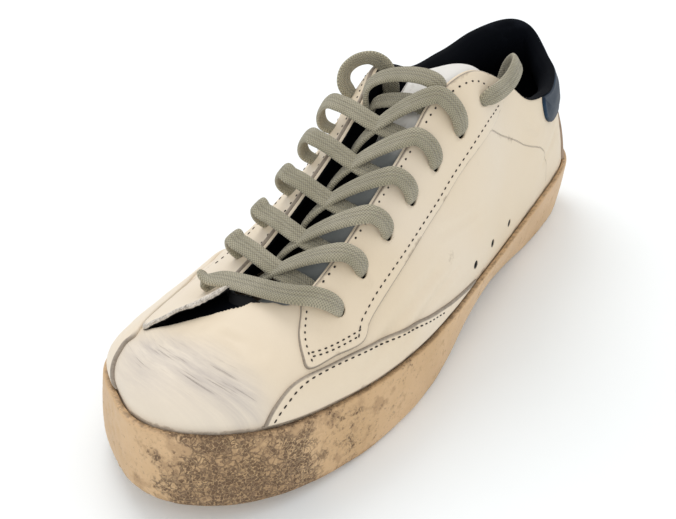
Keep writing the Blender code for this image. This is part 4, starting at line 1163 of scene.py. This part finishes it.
def make_overlay(name, slot, node, rows, side, lines, material="leather", thick=1.2, raw_wide=0.8, across=52,
                 holes=(), both_sides=False, lift=None, tear=None, puff=0.0, raw_from=0.0):
    """Leather laid over the upper along an outline, its border rounded down to the skin, holes punched through."""
    turn, level = band(rows, 12, across, both_sides)
    if tear:
        turn = tear(turn, level)
    turn, level, gone = punch(turn, level, side, holes, EYELET_RADIUS)
    at = np.radians(turn) * side
    base = skin(at, level)
    crease = skin_relief(base, level, lines)
    border = np.concatenate([base[0], base[:, -1], base[-1][::-1], base[::-1, 0]])
    edge = distance_to(base, border).reshape(turn.shape)
    round_over = np.sqrt(1 - (1 - np.clip(edge / 0.9, 0, 1)) ** 2)
    height = crease + thick * (0.25 + 0.75 * round_over) + puff * soft(edge, 0.5, 7.0)
    under = crease - 0.25
    fray = np.zeros_like(edge)
    if lift:
        height = height + lift(at, level)
        under = under + lift(at, level) * 0.96
        fray = (1 - soft(edge, 0.9, 1.9)) * soft(turn, 146.0, 153.0)
    quads = [face for face, left_out in zip(grid_faces(*turn.shape), gone.ravel()) if not left_out]
    points, faces = closed_shell(raised(at, level, height), raised(at, level, under), quads)
    bare = soft(turn, raw_from - 4.0, raw_from)
    marks = {
        "raw": (1 - soft(edge, raw_wide * 0.55, raw_wide)) * (1 - fray) * bare,
        "torn": fray,
        "wear": 0.10 + 0.15 * (1 - soft(edge, 0.0, 5.0)),
        "dirt": 0.03 + 0.22 * (1 - soft(edge, 0.0, 2.0)) * bare,
    }
    marks = {key: np.tile(values.ravel(), 2) for key, values in marks.items()}
    # Painted shade: the underside of a lifted facing is painted black, for its dark underside and for the shade of the
    # gap beneath it.
    marks["gap"] = np.repeat([0.0, 1.0 if lift else 0.0], turn.size)
    used = np.unique(np.concatenate([np.ravel(face) for face in faces]))
    number = np.zeros(len(points), int)
    number[used] = np.arange(len(used))
    faces = [[int(number[corner]) for corner in face] for face in faces]
    marks = LEATHER_MARKS | {"seam": NO_SEAM} | {key: values[used] for key, values in marks.items()}
    return add_piece(name, points[used], faces, [material], slot, [node], marks)


# ---------------------------------------------------------------- insole, collar and tongue
INSOLE_THICK = 3.5


def make_insole():
    """Foot-worn board under its rubbed cloth, hollowed at heel and ball."""
    at = np.radians(np.arange(240) * 1.5)
    inset = LIP + WALL + 3 * GAP
    share = np.linspace(0, 1, 41)
    under = spanned(cup_wall(at, CUP_DEPTH - GAP, inset), share)
    top = spanned(cup_wall(at, CUP_DEPTH - GAP - INSOLE_THICK, inset), share)
    x, y = top[..., 0], top[..., 1]
    top[..., 2] -= 1.3 * np.exp(-(((x - 38) / 26) ** 2) - ((y / 19) ** 2))
    top[..., 2] -= 0.9 * np.exp(-(((x - 205) / 30) ** 2) - (((y - 4) / 30) ** 2))
    top[..., 2] += ripple(top, 30.0, 41) * 0.12
    points, faces = closed_shell(top, under, grid_faces(*x.shape))
    add_piece("worn_insole", points, faces, ["insole"], "insole_fabric", ["insole"])


def make_collar():
    """Padded lining that rolls over the rim round the ankle and thins out down inside the shoe."""
    turns = np.linspace(-82.0, 82.0, 330)
    at = np.radians(turns)
    fade = soft(84.0 - np.abs(turns), 0.0, 22.0)
    filled = 0.25 + 0.75 * fade[:, None]
    pad = np.linspace(0.99, 0.60, 24)
    wall_side = raised(at[:, None], np.linspace(0.60, 0.99, 16), -WALL - 0.05)
    tuft = ripple(skin(at[:, None], pad), 26.0, 51) * 0.25
    full = 5.0 * np.sin(math.pi * np.clip((pad - 0.56) / 0.46, 0, 1)) ** 0.6
    inner = raised(at[:, None], pad, -(WALL + 0.7 + (full + tuft) * filled))
    half_width = (WALL + 0.2 + 2.6 * filled[:, 0]) / 2
    over = []
    for angle in np.linspace(0.15, 0.85, 7) * math.pi:
        depth = 0.2 + 1.0 * fade - half_width + half_width * math.cos(angle)
        rise = 1.5 * math.sin(angle) * (0.4 + 0.6 * fade)
        over.append(raised(at, 1.0, depth) + rim_slope(at) * rise[:, None])
    ring = np.concatenate([wall_side, np.stack(over, 1), inner], 1)
    count = ring.shape[1]
    points = ring.reshape(-1, 3)
    faces = grid_faces(len(ring), count, closed=True)
    faces += [list(range(count))[::-1], list(range(len(points) - count, len(points)))]
    marks = {"dirt": 0.12 + 0.2 * soft(points[:, 2] - 0.9 * points[:, 2].max(), 0.0, 6.0)}
    collar = add_piece("collar_padding", points, faces, ["lining"], "tab_leather", (), marks)


def make_tongue():
    """Leather tongue that has slid to the inner side, with its brown cloth lining and a rounded top."""
    sheets = []
    for height in (-WALL - GAP, -WALL - GAP - TONGUE_THICK):
        sections = []
        for turn, edge, forward, up, sink, far in smooth_rows(TONGUE, 9).T:
            tucked = raised(math.radians(turn), np.linspace(edge, 1, 12)[:-1], height)
            open_part = np.linspace(0, far, 34)
            section = np.concatenate([tucked, bridge(turn, open_part, height, 0.2)]) + np.array([forward, 0.0, up])
            over = np.concatenate([np.zeros(len(tucked)), open_part / far])
            section[:, 2] -= sink * soft(over, 0.15, 1.0) + 1.8 * soft(over, 0.90, 1.0)
            sections.append(section)
        sheets.append(np.array(sections))
    tops, backs = sheets
    swell = ripple(tops, 34.0, 61) * 0.5
    tops[..., 2] += swell
    backs[..., 2] += swell
    for k, share in enumerate((0.5, 0.22, 0.06)):
        for column in (k, -1 - k):
            middle = (tops[:, column] + backs[:, column]) / 2
            tops[:, column] += (middle - tops[:, column]) * share
            backs[:, column] += (middle - backs[:, column]) * share
    quads = grid_faces(*tops.shape[:2])
    points, faces = closed_shell(tops, backs, quads)
    kinds = np.zeros(len(faces), int)
    kinds[len(quads) : 2 * len(quads)] = 1
    edge = distance_to(tops, np.concatenate([tops[:, 0], tops[-1], tops[::-1, -1]]))
    along = (tops[..., 0] + 4.0 * ripple(tops, 12.0, 83)).ravel()
    marks = LEATHER_MARKS | {
        "raw": np.tile(1 - soft(edge, 0.3, 0.8), 2),
        "toe_dark": np.tile(0.93 * soft(along, *TOE_DARK_FROM), 2),
        "seam": np.tile(edge - 4.0, 2),
        "sewn": 1.0,
        "wear": 0.12,
        "dirt": 0.08,
    }
    tongue = add_piece("slid_tongue", points, faces, ["tongue", "brown"], "tongue_leather", ["tongue"], marks, kinds)


# ---------------------------------------------------------------- laces
LaceStation = namedtuple("LaceStation", "part across height wide thick")
TO_MEDIAL = table_of(
    LaceStation,
    (-0.12, -0.14, -8.4, 0.90, 1.0), (0.02, 0.16, -6.2, 0.95, 1.0), (0.17, 0.37, -3.4, 1.0, 1.0),
    (0.32, 0.54, -0.4, 1.0, 1.0), (0.47, 0.69, 2.0, 1.0, 1.0), (0.60, 0.84, 3.9, 1.0, 1.05),
    (0.74, 1.06, 5.0, 1.0, 1.1), (0.87, 1.36, 5.0, 1.0, 1.15), (0.95, 1.65, 4.4, 0.98, 1.25),
    (0.98, 1.86, 3.0, 0.90, 1.35), (1.00, 1.98, 1.0, 0.76, 1.45), (1.00, 2.01, -1.4, 0.60, 1.5),
)
TO_LATERAL = table_of(
    LaceStation,
    (-0.22, -0.08, -6.4, 0.90, 1.0), (-0.10, 0.14, -5.4, 0.95, 1.0), (0.05, 0.36, -4.4, 1.0, 1.0),
    (0.20, 0.54, -2.4, 1.0, 1.0), (0.36, 0.69, 1.4, 1.0, 1.0), (0.52, 0.82, 5.0, 1.0, 1.0),
    (0.68, 0.98, 8.0, 1.0, 1.0), (0.83, 1.25, 10.0, 1.0, 1.0), (0.95, 1.62, 10.2, 1.0, 1.05),
    (1.02, 1.96, 8.4, 0.98, 1.1), (1.03, 2.13, 5.4, 0.90, 1.25), (1.01, 2.08, 2.2, 0.76, 1.4),
    (1.00, 2.00, -1.4, 0.60, 1.5),
)
FIRST_BAR = table_of(
    LaceStation,
    (0.36, -0.58, -1.6, 0.55, 1.5), (0.35, -0.72, 0.8, 0.66, 1.4), (0.36, -0.80, 3.2, 0.80, 1.25),
    (0.41, -0.74, 5.4, 0.92, 1.1), (0.52, -0.55, 6.6, 1.0, 1.0), (0.70, -0.28, 6.2, 1.0, 1.0),
    (0.86, 0.02, 5.2, 1.0, 1.0), (0.98, 0.35, 4.0, 1.0, 1.0), (0.92, 0.65, 3.8, 1.0, 1.0),
    (0.68, 0.93, 4.4, 1.0, 1.05), (0.40, 1.25, 4.8, 1.0, 1.15), (0.18, 1.62, 4.4, 0.98, 1.25),
    (0.06, 1.88, 3.0, 0.86, 1.35), (0.0, 1.99, 1.0, 0.72, 1.45), (0.0, 2.00, -1.6, 0.60, 1.5),
)
TOP_ARC = table_of(
    LaceStation,
    (0.10, -0.08, -5.0, 0.90, 1.0), (0.14, 0.08, -0.8, 1.0, 1.0), (0.20, 0.20, 3.4, 1.0, 1.0),
    (0.27, 0.34, 5.8, 1.0, 1.0), (0.28, 0.50, 6.2, 1.0, 1.0), (0.20, 0.68, 5.2, 1.0, 1.0),
    (0.08, 0.84, 3.0, 1.0, 1.0), (0.02, 0.97, -0.6, 0.95, 1.0), (0.00, 1.08, -3.6, 0.9, 1.0),
)
TOP_FLAT = table_of(
    LaceStation,
    (-0.55, -0.08, -4.6, 0.90, 1.0), (-0.43, 0.12, -3.2, 1.0, 1.0), (-0.28, 0.32, -2.6, 1.0, 1.0),
    (-0.12, 0.51, -2.8, 1.0, 1.0), (0.03, 0.72, -3.2, 1.0, 1.0), (0.14, 0.90, -4.4, 0.95, 1.0),
    (0.20, 1.06, -6.4, 0.9, 1.0),
)
LACE_AROUND = 22
LACE_STEP = 0.8
LACE_SQUARE = 2.8  # how square the ribbon's section is: 2 would be an ellipse


def carried(points, first_up, ups, hold):
    """Upward directions along a path: carried along without twist, and drawn towards ups by the share hold."""
    along = unit(np.gradient(points, axis=0))
    out = []
    up = np.asarray(first_up, float)
    for tangent, wish in zip(along, ups):
        up = unit(up - tangent * (up @ tangent))
        wish = wish - tangent * (wish @ tangent)
        strength = np.linalg.norm(wish)
        if strength > 0.35:
            up = unit(up + wish * hold * strength)
        out.append(up)
    return np.array(out), along


def ribbon(points, ups, along, wide, thick):
    """(points, faces, marks) of a flat woven lace: rounded sides, a shallow rib groove along its middle."""
    angle = np.linspace(0, 2 * math.pi, LACE_AROUND, endpoint=False)
    u, v = (np.sign(part) * np.abs(part) ** (2 / LACE_SQUARE) for part in (np.cos(angle), np.sin(angle)))
    v = v * (1 - 0.12 * np.exp(-((u / 0.16) ** 2)))
    side = np.cross(along, ups)
    rings = (
        points[:, None]
        + side[:, None] * (u[None, :, None] * LACE_WIDE / 2 * wide[:, None, None])
        + ups[:, None] * (v[None, :, None] * LACE_THICK / 2 * thick[:, None, None])
    )
    flat = rings.reshape(-1, 3)
    faces = grid_faces(len(points), LACE_AROUND, closed=True)
    faces += [list(range(LACE_AROUND)), list(range(len(flat) - LACE_AROUND, len(flat)))[::-1]]
    marks = {
        "along": np.repeat(lengths_along(points), LACE_AROUND),
        "across": np.tile(u * LACE_WIDE / 2, len(points)),
    }
    return flat, faces, marks


def lace_stations(stations, low_turn, high_turn, to_lateral, seed):
    """Even points along one run, with the directions of its thickness and its widths."""
    part, across, height, wide, thick = smooth_rows(stations, 8)
    turn = low_turn + (high_turn - low_turn) * part
    rng = np.random.default_rng(seed)
    height = height + rng.uniform(-0.4, 0.4) * np.sin(np.linspace(0, math.pi, len(height)))
    if not to_lateral:
        across = 1 - across
    points = over_throat(turn, across, height)
    above = over_throat(turn, across, height + 1) - points
    lengths = lengths_along(points)
    stops = np.linspace(0, lengths[-1], round(lengths[-1] / LACE_STEP))
    points = read_at(stops, lengths, points)
    for _ in range(4):
        points[1:-1] = (points[:-2] + 2 * points[1:-1] + points[2:]) / 4
    above = read_at(stops, lengths, above)
    return points, above, np.interp(stops, lengths, wide), np.interp(stops, lengths, thick)


def make_run(name, node, low, high, runs):
    """One row of the lacing, each run its own ribbon, in one piece. A run is (stations, to_lateral, hold)."""
    parts, marks = [], {"along": [], "across": []}
    for number, (stations, to_lateral, hold) in enumerate(runs):
        points, above, wide, thick = lace_stations(stations, low, high, to_lateral, 7 * number + len(name))
        ups, along = carried(points, above[0], above, hold)
        flat, faces, values = ribbon(points, ups, along, wide, thick)
        parts.append((flat, faces))
        marks["along"].append(values["along"] + 17.0 * number)
        marks["across"].append(values["across"])
    marks = {key: np.concatenate(values) for key, values in marks.items()}
    add_piece(name, *joined(parts), ["lace"], "lace_fabric", [node], marks)


def make_laces():
    turns = [turn for turn, _ in EYELETS]
    make_run("first_lace_bar", "lace_bar_1", turns[0], turns[0] + 10.0, [(FIRST_BAR, False, 0.5)])
    for row in range(1, len(turns)):
        first, second = (TO_MEDIAL, TO_LATERAL) if row < len(turns) - 1 else (TOP_ARC, TOP_FLAT)
        runs = [(first, False, 0.15), (second, True, 0.15)]
        make_run(f"lace_row_{row + 1}", f"lace_cross_{row + 1}", turns[row - 1], turns[row], runs)


def make_lace_end(name, node, route, first_up, last_up):
    """A free end of the lace: flat ribbon from the top eyelet over the rim and down into the shoe."""
    points = smooth_rows(route, 10).T
    lengths = lengths_along(points)
    stops = np.linspace(0, lengths[-1], round(lengths[-1] / LACE_STEP))
    points = read_at(stops, lengths, points)
    share = np.linspace(0, 1, len(points))[:, None]
    wish = np.array(first_up) * (1 - share) + np.array(last_up) * share
    ups, along = carried(points, first_up, wish, 0.3)
    wide = 0.62 + 0.38 * soft(stops, 0.0, 7.0)
    thick = 1.45 - 0.45 * soft(stops, 0.0, 8.0)
    flat, faces, marks = ribbon(points, ups, along, wide, thick)
    piece = add_piece(name, flat, faces, ["lace"], "lace_fabric", [node], marks)


# ---------------------------------------------------------------- needle holes
DotLine = namedtuple("DotLine", "stations gap long wide")
THROAT_LINE = [
    (129.4, 0.93), (124.5, 0.955), (118.0, 0.955), (111.0, 0.955), (104.0, 0.955),
    (97.0, 0.955), (91.0, 0.95), (86.5, 0.93), (83.6, 0.87),
]
LOWER_LINE = [
    (124.8, 0.425), (123.6, 0.470), (122.6, 0.515), (117.5, 0.577), (111.0, 0.602), (105.0, 0.614),
    (99.0, 0.628), (93.5, 0.655), (89.0, 0.71), (85.6, 0.78), (83.6, 0.84),
]
FOXING_LINE = [
    (145.2, 0.04), (144.2, 0.11), (142.2, 0.20), (139.5, 0.29), (136.0, 0.345),
    (131.0, 0.355), (125.0, 0.318), (119.0, 0.258), (112.0, 0.178), (104.5, 0.09),
]
MEDIAL_DOTS = [
    DotLine(THROAT_LINE, 3.4, 1.05, 0.8),
    DotLine(LOWER_LINE, 2.9, 1.5, 0.55),
    DotLine([(134.9, 0.46), (135.2, 0.56), (134.5, 0.70), (132.4, 0.82), (130.6, 0.90)], 2.4, 1.0, 0.6),
    DotLine([(135.0, 0.555), (130.0, 0.515), (123.6, 0.470)], 2.4, 1.2, 0.6),
    DotLine([(135.0, 0.520), (130.0, 0.480), (124.2, 0.440)], 2.4, 1.2, 0.6),
    DotLine(FOXING_LINE, 2.7, 1.5, 0.6),
]
LATERAL_DOTS = [DotLine(THROAT_LINE[1:], 3.9, 1.05, 0.85), DotLine(LOWER_LINE[2:], 2.9, 1.5, 0.55)]
DOT_AROUND = 8
DOT_LEVELS = 3
DOT_RISE = 0.22
DOT_ROOT = 0.35
OVERLAY_TOP = 1.28


def dome(point, run, up, long, wide):
    """(points, faces) of a small oval dome that stands on the leather."""
    angle = np.linspace(0, 2 * math.pi, DOT_AROUND, endpoint=False)
    run = unit(run - up * (run @ up))
    across = np.cross(up, run)
    oval = run * (np.cos(angle) * long / 2)[:, None] + across * (np.sin(angle) * wide / 2)[:, None]
    tilts = np.linspace(0, math.pi / 2, DOT_LEVELS + 1)[:-1]
    rings = [point + oval * math.cos(tilt) + up * math.sin(tilt) * DOT_RISE for tilt in tilts]
    points = np.concatenate([rings[0] - up * DOT_ROOT, *rings, [point + up * DOT_RISE]])
    faces = grid_faces(DOT_LEVELS + 1, DOT_AROUND, closed=True)
    tip = len(points) - 1
    start = tip - DOT_AROUND
    faces += [[start + i, start + (i + 1) % DOT_AROUND, tip] for i in range(DOT_AROUND)]
    return points, faces + [list(range(DOT_AROUND))[::-1]]


def make_dots(name, side, dot_lines, lines):
    """Dark domes for the needle holes along the seams of one side."""
    domes = []
    for stations, gap, long, wide in dot_lines:
        points, along, normals = surface_path(stations, side, OVERLAY_TOP, gap)
        points += normals * relief(points, lines)[:, None]
        domes += [dome(point, run, up, long, wide) for point, run, up in zip(points, along, normals)]
    add_piece(name, *joined(domes), ["needle_hole"], "overlay_leather")


# ---------------------------------------------------------------- whole shoe
def torn_lift(at, level):
    """How far the torn front end of the lateral facing stands off the vamp."""
    turn = 360 - np.mod(np.degrees(at), 360)
    front = np.clip((turn - 137) / 20, 0, 1.1)
    return 3.2 * front**2 * np.clip((level - 0.42) / 0.25, 0, 1)


def ragged_front(turn, level):
    """Pulls the front border of the torn facing in and out."""
    base = skin(-np.radians(turn), level)
    rough = ripple(base, 6.0, 71) * 0.5 + ripple(base, 2.2, 72) * 0.5
    rows = np.linspace(0, 1, turn.shape[0])[:, None]
    near = soft(rows, 0.64, 0.72) * np.linspace(1, 0, turn.shape[1])[None] ** 6
    return turn - near * (0.4 + rough * 1.7)


def make_overlays(lines):
    torn = {"holes": LATERAL_EYELETS, "raw_wide": 0.9, "lift": torn_lift, "tear": ragged_front}
    counter = {"material": "counter", "both_sides": True, "across": 36}
    tab = {"material": "navy", "thick": 1.5, "puff": 1.1, "both_sides": True, "across": 36}
    for name, slot, node, rows, side, options in (
        ("medial_eyestay", "overlay_leather", "eyestay_medial", EYESTAY_MEDIAL, 1, {"holes": EYELETS, "raw_wide": 0.6}),
        ("torn_eyestay", "overlay_leather", "eyestay_lateral", EYESTAY_LATERAL, -1, torn),
        ("medial_foxing", "overlay_leather", "foxing_medial", FOXING_MEDIAL, 1, {"raw_wide": 0.95, "across": 30}),
        (
            "lateral_foxing", "overlay_leather", "foxing_lateral", FOXING_LATERAL, -1,
            {"raw_wide": 1.1, "across": 30, "raw_from": 156.0},
        ),
        ("counter_strip", "counter_suede", "heel_counter", COUNTER, 1, counter),
        ("padded_tab", "tab_leather", "heel_tab", TAB, 1, tab),
    ):
        make_overlay(name, slot, node, rows, side, lines, **options)


def main():
    make_stage()
    make_groups()
    make_materials()
    make_lace_end("lace_end_over_rim", "lace_end_medial", LACE_END_MEDIAL, (0.35, 0.85, 0.4), (-0.9, 0.1, 0.3))
    make_lace_end("lace_end_looped", "lace_end_lateral", LACE_END_LATERAL, (0.2, -0.9, 0.2), (-0.9, -0.3, 0.3))
    lines = furrow_lines()
    make_sole()
    make_upper(lines)
    make_insole()
    make_collar()
    make_tongue()
    make_overlays(lines)
    make_laces()
    make_dots("medial_needle_holes", 1, MEDIAL_DOTS, lines)
    make_dots("lateral_needle_holes", -1, LATERAL_DOTS, lines)


main()
